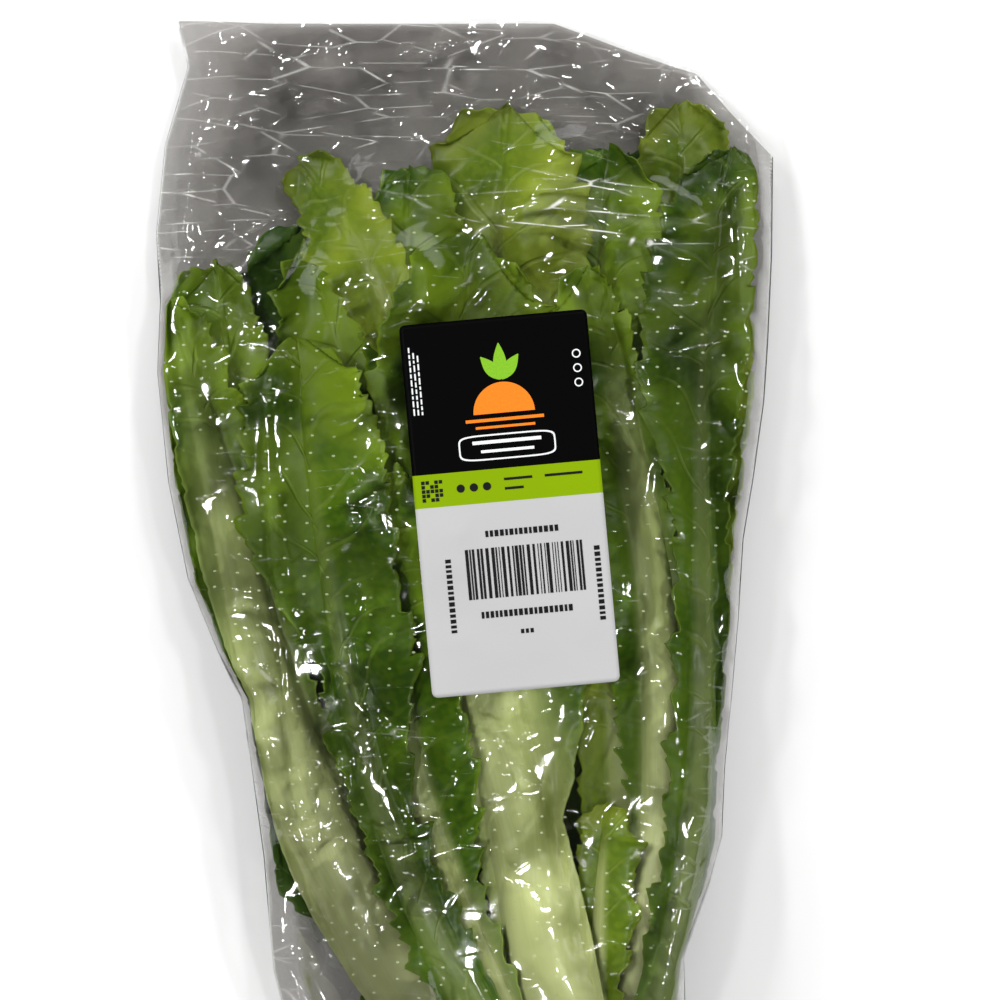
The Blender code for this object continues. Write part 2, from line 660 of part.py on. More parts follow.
def main():
    clear_scene()
    collection = bpy.data.collections.new("bagged_escarole")
    bpy.context.scene.collection.children.link(collection)
    leaf_green = make_material("leaf_green", (0.10, 0.24, 0.03), 0.45)
    inner_green = make_material("inner_leaf_green", (0.25, 0.40, 0.06), 0.45)
    pale_crown = make_material("pale_crown", (0.62, 0.62, 0.38), 0.5)
    film = make_material("clear_film", (0.9, 0.9, 0.9), 0.08, 0.2)
    paper = make_material("label_paper", (0.8, 0.82, 0.84), 0.35)

    ground = Ground()
    plan = bag_plan()
    neck = np.exp(-(((plan[..., 1] - NECK_Y) / NECK_SPAN) ** 2))
    fold_height = FOLD_HEIGHT + (NECK_FOLD_HEIGHT - FOLD_HEIGHT) * neck
    under = fold_height * (1.0 - eased(0.0, FOLD_REACH, outline_distance(plan))) ** 1.5
    lower = grid_triangles(*plan.shape[:2])
    ground.cover(ground.covered(plan.reshape(-1, 2), lower), (under + FILM).ravel())

    empty = ground.height.copy()
    bottom, top = math.inf, 0.0
    for number, leaf in enumerate(LEAVES):
        green = inner_green if leaf.name.startswith(("inner", "heart", "small")) else leaf_green
        low, high = build_leaf(leaf, number, ground, green, collection)
        bottom, top = min(bottom, low.min()), max(top, high.max())
    build_crown(bottom, top, ground, pale_crown, collection)
    leaves = ground.widened() > empty + GAP
    build_bag(plan, under, leaves, ground, film, collection)
    build_label(ground, paper, collection)


main()
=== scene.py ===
"""A bagged escarole, dressed for a studio picture.

The head lies on its back leaves in a clear film sack with a sticker on the front. Each leaf is a
fine sheet with a fluted stalk, side veins, puckers and a toothed, waved margin. The leaves are let
down on a height map one after another, from the back ones up, so that each rests on those below.
The film, its vent holes and the sticker are let down on the pile in the same way.
Metres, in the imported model's frame: +Z up, +Y from the crown to the leaf tips.
"""

import logging
import math
from dataclasses import dataclass, field
from enum import Enum

import bpy
import numpy as np
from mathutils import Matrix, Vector
from mathutils.bvhtree import BVHTree
from mathutils.geometry import delaunay_2d_cdt


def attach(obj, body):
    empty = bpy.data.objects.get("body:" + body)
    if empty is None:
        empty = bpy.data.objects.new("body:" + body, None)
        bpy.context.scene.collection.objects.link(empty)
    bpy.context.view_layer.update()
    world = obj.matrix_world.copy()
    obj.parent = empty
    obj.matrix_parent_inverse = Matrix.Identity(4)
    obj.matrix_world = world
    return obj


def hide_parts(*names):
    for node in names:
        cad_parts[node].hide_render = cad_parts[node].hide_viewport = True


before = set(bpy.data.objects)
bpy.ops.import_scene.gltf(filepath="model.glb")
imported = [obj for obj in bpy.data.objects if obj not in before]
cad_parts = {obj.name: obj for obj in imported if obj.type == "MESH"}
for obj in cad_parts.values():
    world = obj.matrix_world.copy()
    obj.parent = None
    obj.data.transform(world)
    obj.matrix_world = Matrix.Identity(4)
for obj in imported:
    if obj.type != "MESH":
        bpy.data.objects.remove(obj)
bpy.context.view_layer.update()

LOG = logging.getLogger("escarole")
Colour = tuple[float, float, float]
Point = tuple[float, float]
Socket = bpy.types.NodeSocket
Material = bpy.types.Material
Piece = bpy.types.Object

# The root end, where every leaf starts.
ROOT_Y = -0.1585

# The sack laid flat: its two folds and its mouth, as (x, y) from the mouth to the weld.
SACK_LEFT = (
    (-0.0942, 0.1783), (-0.0906, 0.1634), (-0.0981, 0.1376), (-0.1010, 0.1086),
    (-0.0997, 0.0860), (-0.1006, 0.0634), (-0.0971, 0.0279), (-0.0906, -0.0043),
    (-0.0813, -0.0269), (-0.0729, -0.0430), (-0.0690, -0.0688), (-0.0652, -0.0946),
    (-0.0619, -0.1317), (-0.0560, -0.1559), (-0.0500, -0.1783),
)
SACK_RIGHT = (
    (0.1010, 0.1337), (0.1007, 0.1021), (0.0994, 0.0731), (0.0981, 0.0537),
    (0.0945, 0.0279), (0.0913, 0.0086), (0.0897, -0.0172), (0.0874, -0.0430),
    (0.0850, -0.0656), (0.0838, -0.0882), (0.0795, -0.1027), (0.0728, -0.1205),
    (0.0712, -0.1253), (0.0716, -0.1317), (0.0722, -0.1527), (0.0690, -0.1783),
)
SACK_MOUTH = (
    (-0.0942, 0.1783), (0.0294, 0.1783), (0.0568, 0.1679),
    (0.0761, 0.1615), (0.0890, 0.1466), (0.1010, 0.1337),
)
SACK_END_Y = -0.1980

# The side veins: their spacing, slant and bow, and how far the left ones lag behind the right.
VEIN_PITCH = 0.017
VEIN_SLANT = 0.62
VEIN_BOW = 0.86
VEIN_LAG = 0.41


def eased(low: float, high: float, value: np.ndarray) -> np.ndarray:
    """0 below low, 1 above high and a smooth rise between them."""
    share = np.clip((value - low) / (high - low), 0.0, 1.0)
    return share * share * (3.0 - 2.0 * share)


def scattered(i: np.ndarray, j: np.ndarray, seed: int) -> np.ndarray:
    """A fixed random value for each whole lattice place.

    Args:
        i: whole places across.
        j: whole places along.
        seed: which pattern.

    Returns:
        Values from -1 to 1.
    """
    mixed = (i * 374761393 + j * 668265263 + seed * 1013904223) & 0xFFFFFFFF
    mixed = ((mixed ^ (mixed >> 13)) * 1274126177) & 0xFFFFFFFF
    return ((mixed ^ (mixed >> 16)) & 0xFFFF) / 32767.5 - 1.0


def noise(x: np.ndarray, y: np.ndarray, seed: int) -> np.ndarray:
    """Smooth noise from -1 to 1.

    Args:
        x: places across, in lattice steps.
        y: places along, in lattice steps.
        seed: which pattern.

    Returns:
        The noise at each place.
    """
    x, y = np.broadcast_arrays(np.asarray(x, float), np.asarray(y, float))
    i, j = np.floor(x).astype(np.int64), np.floor(y).astype(np.int64)
    fx, fy = x - i, y - j
    fx, fy = fx**3 * (fx * (6 * fx - 15) + 10), fy**3 * (fy * (6 * fy - 15) + 10)
    low = scattered(i, j, seed) * (1 - fx) + scattered(i + 1, j, seed) * fx
    high = scattered(i, j + 1, seed) * (1 - fx) + scattered(i + 1, j + 1, seed) * fx
    return low * (1 - fy) + high * fy


def turned(angle: float) -> np.ndarray:
    """The matrix that turns rows of plan points by this angle."""
    return np.array(((math.cos(angle), math.sin(angle)), (-math.sin(angle), math.cos(angle))))


def fold_x(points: tuple[Point, ...], y: np.ndarray) -> np.ndarray:
    """Where a fold of the flat sack is at this y."""
    order = sorted(points, key=lambda point: point[1])
    return np.interp(y, [point[1] for point in order], [point[0] for point in order])


def deselect() -> None:
    """Nothing selected, in object mode."""
    if bpy.context.mode != "OBJECT":
        bpy.ops.object.mode_set(mode="OBJECT")
    bpy.ops.object.select_all(action="DESELECT")


def add_grid(name: str, corners: np.ndarray) -> Piece:
    """A grid primitive with its vertices moved to these corners.

    Args:
        name: the object's name.
        corners: rows x columns x 3 places, columns running to the right seen from above.

    Returns:
        The new mesh object, at the origin.
    """
    rows, columns = corners.shape[:2]
    deselect()
    bpy.ops.mesh.primitive_grid_add(x_subdivisions=columns - 1, y_subdivisions=rows - 1, size=1.0)
    made = bpy.context.active_object
    made.name = made.data.name = name
    made.data.vertices.foreach_set("co", corners.reshape(-1, 3).astype(np.float32).ravel())
    made.data.update()
    return made


def add_mesh(name: str, corners: list[tuple[float, ...]], faces: list[tuple[int, ...]]) -> Piece:
    """A new piece with these corners and faces.

    Args:
        name: the piece's name.
        corners: its corners' places.
        faces: the corners of each face.

    Returns:
        The new mesh object, at the origin.
    """
    mesh = bpy.data.meshes.new(name)
    mesh.from_pydata(corners, [], faces)
    made = bpy.data.objects.new(name, mesh)
    bpy.context.scene.collection.objects.link(made)
    return made


def set_uv(made: Piece, across: np.ndarray, along: np.ndarray) -> None:
    """Lay the piece's UV map out by these values of its vertices.

    Args:
        made: the piece.
        across: each vertex's first value.
        along: each vertex's second value.
    """
    mesh = made.data
    corner = np.empty(len(mesh.loops), np.int32)
    mesh.loops.foreach_get("vertex_index", corner)
    flat = np.stack([across.ravel()[corner], along.ravel()[corner]], axis=1)
    mesh.uv_layers[0].data.foreach_set("uv", flat.astype(np.float32).ravel())


def set_values(made: Piece, name: str, values: np.ndarray) -> None:
    """Store one number for each vertex, for the finish to read."""
    attribute = made.data.attributes.new(name, "FLOAT", "POINT")
    attribute.data.foreach_set("value", values.astype(np.float32).ravel())


def apply_modifier(made: Piece, kind: str, **settings: object) -> None:
    """Add a modifier with these settings and apply it.

    Args:
        made: the piece.
        kind: the modifier's type.
        settings: its properties.
    """
    deselect()
    bpy.context.view_layer.objects.active = made
    made.select_set(True)
    modifier = made.modifiers.new(kind.title(), kind)
    for key, value in settings.items():
        setattr(modifier, key, value)
    bpy.ops.object.modifier_apply(modifier=modifier.name)


def smooth(made: Piece) -> None:
    """Shade the piece smooth all over."""
    made.data.polygons.foreach_set("use_smooth", [True] * len(made.data.polygons))
    made.data.update()


def hand_over(made: Piece, finish: Material, slot: str, *nodes: str) -> None:
    """Give a finished piece its material and body, and hide the nodes that it stands for.

    Args:
        made: the finished piece.
        finish: its material.
        slot: the record's material slot; not used.
        nodes: the solids that it replaces.
    """
    made.data.materials.clear()
    made.data.materials.append(finish)
    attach(made, "root")
    if nodes:
        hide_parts(*nodes)
    LOG.info("%s: %d faces", made.name, len(made.data.polygons))


class Graph:
    """A material's node tree, with short ways to add and join nodes."""

    def __init__(self, name: str) -> None:
        """Start a material with nothing but its output.

        Args:
            name: the material's name.
        """
        self.material = bpy.data.materials.new(name)
        self.material.use_nodes = True
        self.nodes = self.material.node_tree.nodes
        self.links = self.material.node_tree.links
        self.nodes.clear()
        self.output = self.nodes.new("ShaderNodeOutputMaterial")

    def join(self, value: object, socket: Socket) -> None:
        """Set a socket to a number or colour, or link another socket to it.

        Args:
            value: a number, a colour or the socket that feeds it.
            socket: the input to set.
        """
        if isinstance(value, Socket):
            self.links.new(value, socket)
        elif isinstance(value, tuple) and len(value) == 3 and socket.type == "RGBA":
            socket.default_value = (*value, 1.0)
        else:
            socket.default_value = value

    def add(
        self, kind: str, sockets: dict[object, object] | None = None, **settings: object
    ) -> bpy.types.Node:
        """Add a node.

        Args:
            kind: the node's type without its ShaderNode prefix.
            sockets: input name or number to its value or the socket that feeds it.
            settings: the node's own properties.

        Returns:
            The new node.
        """
        node = self.nodes.new("ShaderNode" + kind)
        for key, value in settings.items():
            setattr(node, key, value)
        for key, value in (sockets or {}).items():
            self.join(value, node.inputs[key])
        return node

    def calc(self, operation: str, first: object, second: object = 0.0, clamp: bool = False) -> Socket:
        """The result of a Math node."""
        return self.add("Math", {0: first, 1: second}, operation=operation, use_clamp=clamp).outputs[0]

    def spread(
        self, value: object, low: float, high: float, to_low: float = 0.0, to_high: float = 1.0
    ) -> Socket:
        """The value carried smoothly from one range to another, and held at its ends.

        Args:
            value: the number to carry.
            low: the first range's start.
            high: the first range's end.
            to_low: the second range's start.
            to_high: the second range's end.

        Returns:
            The number in the second range.
        """
        sockets = {
            "Value": value, "From Min": low, "From Max": high, "To Min": to_low, "To Max": to_high,
        }
        return self.add("MapRange", sockets, interpolation_type="SMOOTHSTEP").outputs[0]

    def blend(self, share: object, first: object, second: object, how: str = "MIX") -> Socket:
        """Two colours mixed by a share.

        Args:
            share: how much of the second colour there is.
            first: the first colour.
            second: the second colour.
            how: the way of mixing.

        Returns:
            The mixed colour.
        """
        node = self.add("Mix", data_type="RGBA", blend_type=how)
        self.join(share, node.inputs[0])
        self.join(first, node.inputs[6])
        self.join(second, node.inputs[7])
        return node.outputs[2]

    def value(self, name: str) -> Socket:
        """A number stored on the piece's vertices."""
        return self.add("Attribute", attribute_name=name).outputs["Fac"]

    def noise(self, place: object, scale: float, detail: float = 2.0, flat: bool = True) -> Socket:
        """A noise texture's value, in plan or in space."""
        sockets = {"Vector": place, "Scale": scale, "Detail": detail}
        return self.add("TexNoise", sockets, noise_dimensions="2D" if flat else "3D").outputs["Fac"]

    def cells(self, place: object, scale: float) -> Socket:
        """The distance to the nearest edge between scattered cells, in plan."""
        settings = {"feature": "DISTANCE_TO_EDGE", "voronoi_dimensions": "2D"}
        return self.add("TexVoronoi", {"Vector": place, "Scale": scale}, **settings).outputs["Distance"]

    def bump(self, height: object, distance: float, strength: object = 1.0) -> Socket:
        """A normal bent by a height."""
        sockets = {"Height": height, "Distance": distance, "Strength": strength}
        return self.add("Bump", sockets).outputs[0]

    def grey(self, value: object) -> Socket:
        """A number as a grey."""
        return self.add("CombineColor", {0: value, 1: value, 2: value}).outputs[0]

    def mixed(self, share: object, first: Socket, second: Socket) -> Socket:
        """Two shaders mixed by a share."""
        return self.add("MixShader", {0: share, 1: first, 2: second}).outputs[0]

    def body(self, colour: object, roughness: object, specular: float, normal: object = None) -> Socket:
        """A surface that light doesn't pass.

        Args:
            colour: its colour.
            roughness: its roughness.
            specular: how strongly it mirrors.
            normal: its bent normal, if it has one.

        Returns:
            The shader.
        """
        sockets = {"Base Color": colour, "Roughness": roughness, "Specular IOR Level": specular}
        if normal is not None:
            sockets["Normal"] = normal
        return self.add("BsdfPrincipled", sockets).outputs[0]

    def finish(self, shader: Socket) -> Material:
        """Join the last shader to the output."""
        self.links.new(shader, self.output.inputs["Surface"])
        return self.material


@dataclass(frozen=True)
class LeafFinish:
    """The looks of one kind of leaf: its blade, its tip, its rib and its gloss."""

    name: str
    deep: Colour
    bright: Colour
    tip: Colour
    rib: Colour
    vein: Colour
    base: Colour = (0.420, 0.450, 0.210)
    roughness: float = 0.38

    def make(self) -> Material:
        """Paint a blade with a pale rib, side veins and a yellower margin.

        Returns:
            The material, which reads the leaf's UV map, its rib, out and high values and a brightness value
            that is partly the leaf's tone and partly painted light and shade.
        """
        g = Graph(self.name)
        place = g.add("UVMap", uv_map="UVMap").outputs[0]
        rib, out, high, tone_and_painted_light = (g.value(name) for name in ("rib", "out", "high", "tone_and_painted_light"))
        drift = g.noise(place, 26.0)
        veins = self._veins(g, place, out)
        blade = self._blade(g, place, veins, drift, out, high)
        colour = g.blend(rib, blade, self._stalk(g, place, high))
        # Painted light: the colour is scaled by a stored brightness, partly the leaf's tone and partly
        # painted light and shade.
        colour = g.blend(1.0, colour, g.grey(tone_and_painted_light), "MULTIPLY")
        puckers = g.calc("MULTIPLY", g.noise(place, 140.0, 1.0), 0.8)
        height = g.calc("ADD", g.calc("MULTIPLY", veins, -0.7), puckers)
        height = g.calc("MULTIPLY", height, g.calc("SUBTRACT", 1.0, rib))
        gloss = g.spread(drift, 0.3, 0.7, self.roughness - 0.07, self.roughness + 0.10)
        return g.finish(g.body(colour, gloss, 0.42, g.bump(height, 0.00055, 0.9)))

    @staticmethod
    def _veins(g: Graph, place: Socket, out: Socket) -> Socket:
        """Side veins that leave the rib in turn and fade towards the margin.

        Args:
            g: the finish's graph.
            place: the leaf's UV map, across and along the rib in metres.
            out: how far out to the margin each place is.

        Returns:
            1 on a vein and 0 between them.
        """
        parts = g.add("SeparateXYZ", {0: place})
        across, along = parts.outputs[0], parts.outputs[1]
        bow = g.calc("POWER", g.calc("ABSOLUTE", across), VEIN_BOW)
        wander = g.calc("MULTIPLY", g.noise(place, 34.0, 0.0), 0.022)
        course = g.calc("SUBTRACT", g.calc("ADD", along, wander), g.calc("MULTIPLY", bow, VEIN_SLANT))
        lag = g.calc("MULTIPLY", g.calc("LESS_THAN", across, 0.0), VEIN_LAG)
        course = g.calc("ADD", g.calc("DIVIDE", course, VEIN_PITCH), lag)
        veins = g.spread(g.calc("PINGPONG", course, 0.5), 0.015, 0.085, 1.0, 0.0)
        return g.calc("MULTIPLY", veins, g.spread(out, 0.25, 0.98, 1.0, 0.15))

    def _blade(
        self, g: Graph, place: Socket, veins: Socket, drift: Socket, out: Socket, high: Socket
    ) -> Socket:
        """The blade's colour: cloudy, speckled and yellower at the tip and the margin.

        Args:
            g: the finish's graph.
            place: the leaf's UV map.
            veins: where the side veins are.
            drift: slow clouds.
            out: how far out to the margin each place is.
            high: how far up the leaf each place is.

        Returns:
            The colour.
        """
        specks = g.spread(g.noise(place, 420.0, 0.0), 0.35, 0.68)
        blade = g.blend(g.spread(drift, 0.32, 0.70), self.deep, self.bright)
        blade = g.blend(g.calc("MULTIPLY", specks, 0.16), blade, self.tip)
        ripe = g.calc("MULTIPLY", g.spread(high, 0.62, 1.0), g.spread(drift, 0.36, 0.60))
        blade = g.blend(g.calc("MULTIPLY", ripe, 0.8), blade, self.tip)
        blade = g.blend(g.spread(out, 0.93, 1.02, 0.0, 0.55), blade, self.tip)
        return g.blend(g.calc("MULTIPLY", veins, 0.34), blade, self.vein)

    def _stalk(self, g: Graph, place: Socket, high: Socket) -> Socket:
        """The rib's colour: finely streaked, greener up the leaf and buff at its foot.

        Args:
            g: the finish's graph.
            place: the leaf's UV map.
            high: how far up the leaf each place is.

        Returns:
            The colour.
        """
        streaks = g.add("Mapping", {"Vector": place, "Scale": (1300.0, 22.0, 1.0)}).outputs[0]
        grain = g.spread(g.noise(streaks, 1.0, 1.0), 0.30, 0.72)
        stalk = g.blend(g.calc("MULTIPLY", grain, 0.14), self.rib, self.vein)
        stalk = g.blend(g.spread(high, 0.15, 0.90, 0.0, 0.60), stalk, self.vein)
        return g.blend(g.spread(high, 0.00, 0.32, 0.85, 0.0), stalk, self.base)


@dataclass(frozen=True)
class CrownFinish:
    """The cut stub: cream, with browned rings on the cut."""

    name: str
    cream: Colour
    green: Colour
    brown: Colour

    def make(self) -> Material:
        """Paint rings and stains round the stub's own axis.

        Returns:
            The material.
        """
        g = Graph(self.name)
        place = g.add("TexCoord").outputs["Object"]
        rings = g.add(
            "TexWave",
            {"Vector": place, "Scale": 95.0, "Distortion": 7.0, "Detail": 3.0, "Detail Scale": 1.4},
            wave_type="RINGS", rings_direction="Y",
        ).outputs["Fac"]
        stain = g.spread(g.noise(place, 130.0, 4.0, False), 0.48, 0.72)
        colour = g.blend(g.calc("MULTIPLY", rings, 0.35), self.cream, self.green)
        colour = g.blend(g.calc("MULTIPLY", stain, 0.55), colour, self.brown)
        height = g.calc("ADD", rings, g.noise(place, 320.0, 3.0, False))
        return g.finish(g.body(colour, 0.5, 0.5, g.bump(height, 0.0004, 0.7)))


@dataclass(frozen=True)
class FilmFinish:
    """Clear film: what passes through it, how it shines and how milky its creases are."""

    name: str
    tint: Colour
    gloss: float
    milk: Colour
    least_milk: float
    most_milk: float

    def make(self) -> Material:
        """Film that shines by its angle and turns milky where it is creased.

        Returns:
            The material, which reads the film's crease value.
        """
        g = Graph(self.name)
        crease = g.value("crease")
        lines: Socket | float = 0.0
        shine = {"Color": (1.0, 1.0, 1.0), "Roughness": 0.08}
        if self.gloss:
            lines, bent = self._drawn_lines(g)
            strength = g.spread(crease, 0.0, 0.5, 0.45 * self.gloss, self.gloss)
            shine["Normal"] = g.bump(bent, 0.00042, strength)
        clear = g.add("BsdfTransparent", {"Color": self.tint}).outputs[0]
        mirror = g.add("BsdfGlossy", shine).outputs[0]
        share = g.calc("MULTIPLY", g.add("Fresnel", {"IOR": 1.5}).outputs[0], 1.35, True)
        milk = g.add("BsdfDiffuse", {"Color": self.milk}).outputs[0]
        milky = g.calc("MULTIPLY", crease, g.calc("ADD", 0.16, g.calc("MULTIPLY", lines, 0.84)))
        cover = g.spread(milky, 0.0, 1.0, self.least_milk, self.most_milk)
        return g.finish(g.mixed(cover, g.mixed(share, clear, mirror), milk))

    @staticmethod
    def _wrinkles(
        g: Graph, place: Socket, turn: float, squeeze: float, scale: float, width: float
    ) -> Socket:
        """Fine lines that run mostly one way, the edges of stretched cells.

        Args:
            g: the finish's graph.
            place: Object coordinates.
            turn: the lines' direction.
            squeeze: how much the cells are stretched along it.
            scale: cells to the metre.
            width: the lines' width, in cells.

        Returns:
            1 on a line and 0 between them.
        """
        sockets = {"Vector": place, "Rotation": (0.0, 0.0, turn), "Scale": (squeeze, 1.0, 1.0)}
        return g.spread(g.cells(g.add("Mapping", sockets).outputs[0], scale), 0.0, width, 1.0, 0.0)

    def _drawn_lines(self, g: Graph) -> tuple[Socket, Socket]:
        """Long fine wrinkles in two directions, broken here and there.

        Args:
            g: the finish's graph.

        Returns:
            All the wrinkles, and those of the first direction alone, from 0 to 1.
        """
        place = g.add("TexCoord").outputs["Object"]
        patchy = g.noise(place, 95.0, 0.0)
        first = self._wrinkles(g, place, 0.42, 0.20, 118.0, 0.045)
        first = g.calc("MULTIPLY", first, g.spread(patchy, 0.38, 0.60, 0.10, 1.0))
        second = self._wrinkles(g, place, -0.80, 0.26, 125.0, 0.042)
        second = g.calc("MULTIPLY", second, g.spread(patchy, 0.42, 0.64, 1.0, 0.05))
        return g.calc("MAXIMUM", first, second), first


@dataclass(frozen=True)
class VentFinish:
    """The molten rims of the needle holes: small and clear, whitish partly by their own milkiness and
    partly by a painted highlight.
    """

    name: str
    milk: Colour
    cover: float

    def make(self) -> Material:
        """Clear film, milky in patches: partly the rims' own milkiness, partly painted highlights.

        Returns:
            The material.
        """
        g = Graph(self.name)
        place = g.add("TexCoord").outputs["Object"]
        clear = g.add("BsdfTransparent", {"Color": (0.97, 0.97, 0.97)}).outputs[0]
        # Painted highlight: the patchy whitish share is partly the rims' own milkiness and partly painted
        # highlights.
        share = g.spread(g.noise(place, 24.0, 0.0), 0.35, 0.65, 0.1 * self.cover, 1.9 * self.cover)
        return g.finish(g.mixed(share, clear, g.body(self.milk, 0.45, 0.2)))


@dataclass(frozen=True)
class PaperFinish:
    """Coated sticker paper printed in three bands."""

    name: str
    top: Colour
    band: Colour
    ground: Colour
    band_from: float
    band_to: float
    roughness: float = 0.42

    def make(self) -> Material:
        """Read the bands from the sticker's own UV map.

        Returns:
            The material.
        """
        g = Graph(self.name)
        place = g.add("UVMap", uv_map="UVMap").outputs[0]
        up = g.add("SeparateXYZ", {0: place}).outputs[1]
        fibre = g.noise(place, 900.0, 3.0)
        fade = g.spread(g.noise(place, 24.0, 2.0), 0.3, 0.7, 0.965, 1.0)
        colour = g.blend(g.calc("GREATER_THAN", up, self.band_from), self.ground, self.band)
        colour = g.blend(g.calc("GREATER_THAN", up, self.band_to), colour, self.top)
        colour = g.blend(1.0, colour, g.grey(fade), "MULTIPLY")
        return g.finish(g.body(colour, self.roughness, 0.05, g.bump(fibre, 0.00004, 0.5)))


@dataclass(frozen=True)
class InkFinish:
    """One printed ink."""

    name: str
    colour: Colour

    def make(self) -> Material:
        """Ink with a slightly uneven lay.

        Returns:
            The material.
        """
        g = Graph(self.name)
        place = g.add("TexCoord").outputs["Object"]
        lay = g.spread(g.noise(place, 1400.0, 2.0), 0.25, 0.75, 0.90, 1.0)
        return g.finish(g.body(g.blend(1.0, self.colour, g.grey(lay), "MULTIPLY"), 0.36, 0.3))


class Tone(Enum):
    """The kinds of leaf, from the dark outer ones to the heart."""

    OUTER = LeafFinish(
        "outer_leaf", (0.056, 0.138, 0.004), (0.122, 0.238, 0.007), (0.250, 0.370, 0.016),
        (0.560, 0.600, 0.280), (0.270, 0.380, 0.060),
    )
    DARK = LeafFinish(
        "dark_leaf", (0.026, 0.072, 0.005), (0.056, 0.130, 0.008), (0.100, 0.190, 0.014),
        (0.330, 0.420, 0.180), (0.130, 0.220, 0.050),
    )
    INNER = LeafFinish(
        "inner_leaf", (0.125, 0.215, 0.009), (0.225, 0.335, 0.018), (0.370, 0.460, 0.040),
        (0.660, 0.700, 0.360), (0.380, 0.480, 0.100),
    )


FILM_TOP = FilmFinish("clear_film", (0.985, 0.985, 0.980), 1.0, (0.88, 0.87, 0.82), 0.002, 0.80)
FILM_BACK = FilmFinish("smoky_film", (0.510, 0.495, 0.482), 0.0, (0.62, 0.61, 0.58), 0.01, 0.16)
# The rims' whitish colour is partly their own milkiness and partly a painted highlight.
VENT_RIMS_AND_PAINTED_HIGHLIGHTS = VentFinish("vent_rims", (0.62, 0.70, 0.46), 0.22)
STICKER_PAPER = PaperFinish(
    "sticker_paper", (0.0015, 0.0015, 0.0015), (0.205, 0.330, 0.002), (0.450, 0.450, 0.450),
    0.0603, 0.0709,
)
CROWN = CrownFinish("cut_crown", (0.66, 0.66, 0.42), (0.42, 0.50, 0.20), (0.30, 0.19, 0.08))


@dataclass
class Pile:
    """A height map of all that has been laid down so far."""

    cell: float = 0.0015
    half_x: float = 0.112
    half_y: float = 0.208
    start: float = 0.003
    easing: float = 0.45
    weight: float = 0.11
    strides: tuple[int, ...] = (8, 4, 2, 1)
    height: np.ndarray = field(init=False)

    def __post_init__(self) -> None:
        """Start with the bare surface that the sack lies on."""
        self.height = np.zeros((int(2 * self.half_x / self.cell), int(2 * self.half_y / self.cell)))

    def cells(self, plan: np.ndarray) -> tuple[np.ndarray, np.ndarray]:
        """The map's cell at each plan point.

        Args:
            plan: places in plan.

        Returns:
            The cells' two numbers.
        """
        at = np.floor((plan + (self.half_x, self.half_y)) / self.cell).astype(int)
        at = np.clip(at, 0, np.array(self.height.shape) - 1)
        return at[..., 0], at[..., 1]

    def widened(self) -> np.ndarray:
        """The map with each cell raised to the highest of its neighbours.

        Returns:
            The raised map.
        """
        padded = np.pad(self.height, 1, mode="edge")
        wide, long = self.height.shape
        return np.max([padded[i : i + wide, j : j + long] for i in range(3) for j in range(3)], axis=0)

    def cover(self, plan: np.ndarray, top: np.ndarray) -> None:
        """Raise the map to a sheet's upper side, with points between the grid's own.

        Args:
            plan: rows x columns x 2 places of the sheet's points.
            top: the height of its upper side at each.
        """
        both = np.concatenate([plan, top[..., None]], axis=2)
        for axis in (0, 1, 0):
            count = both.shape[axis]
            middle = 0.5 * (both.take(range(count - 1), axis) + both.take(range(1, count), axis))
            both = np.concatenate([both, middle], axis=axis) if axis == 1 else self._woven(both, middle)
        np.maximum.at(self.height, self.cells(both[..., :2]), both[..., 2])

    @staticmethod
    def _woven(rows: np.ndarray, between: np.ndarray) -> np.ndarray:
        """Rows with the middle ones put between them.

        Args:
            rows: the rows.
            between: the middle ones, one fewer.

        Returns:
            All of them in order.
        """
        joined = np.empty((len(rows) + len(between), *rows.shape[1:]))
        joined[0::2], joined[1::2] = rows, between
        return joined

    def settle(
        self, plan: np.ndarray, under: np.ndarray, air: float | np.ndarray, limp: np.ndarray,
        droop: float = 20.0, held: np.ndarray | None = None, held_at: np.ndarray | None = None,
        steps: int = 110,
    ) -> np.ndarray:
        """Let a sheet down until it rests, smooth and clear of everything below.

        Args:
            plan: rows x columns x 2 places of the sheet's points.
            under: how far the underside hangs below the sheet's smooth surface.
            air: the least clearance.
            limp: how readily each point sinks.
            droop: the curvature, per metre, of a stretch that hangs free.
            held: points that keep the height held_at.
            held_at: their heights.
            steps: the steps of sinking at each fineness.

        Returns:
            The height of each point of the smooth surface.
        """
        floor = self.widened()[self.cells(plan)] + under + air
        surface = np.full(floor.shape, floor.max() + self.start)
        rows, columns = floor.shape
        before = None
        for stride in self.strides:
            r = np.unique(np.append(np.arange(0, rows, stride), rows - 1))
            c = np.unique(np.append(np.arange(0, columns, stride), columns - 1))
            pick = np.ix_(r, c)
            if before is not None:
                surface = self._resampled(surface, before, (r, c))
            else:
                surface = surface[pick]
            before = (r, c)
            step = np.linalg.norm(np.diff(plan[pick], axis=0), axis=2).mean()
            step = 0.5 * (step + np.linalg.norm(np.diff(plan[pick], axis=1), axis=2).mean())
            sink = self.weight * droop * step * step * limp[pick]
            low = floor[pick]
            fixed = None if held is None else held[pick]
            for _ in range(steps):
                wide = np.pad(surface, 1, mode="edge")
                around = 0.25 * (wide[:-2, 1:-1] + wide[2:, 1:-1] + wide[1:-1, :-2] + wide[1:-1, 2:])
                surface = np.maximum(surface + self.easing * (around - surface) - sink, low)
                if fixed is not None:
                    surface = np.where(fixed, held_at[pick], surface)
        return surface

    @staticmethod
    def _resampled(
        surface: np.ndarray, old: tuple[np.ndarray, np.ndarray], new: tuple[np.ndarray, np.ndarray]
    ) -> np.ndarray:
        """Heights known at the old rows and columns, read at the new ones."""
        across = np.stack([np.interp(new[1], old[1], row) for row in surface])
        return np.stack([np.interp(new[0], old[0], column) for column in across.T], axis=1)


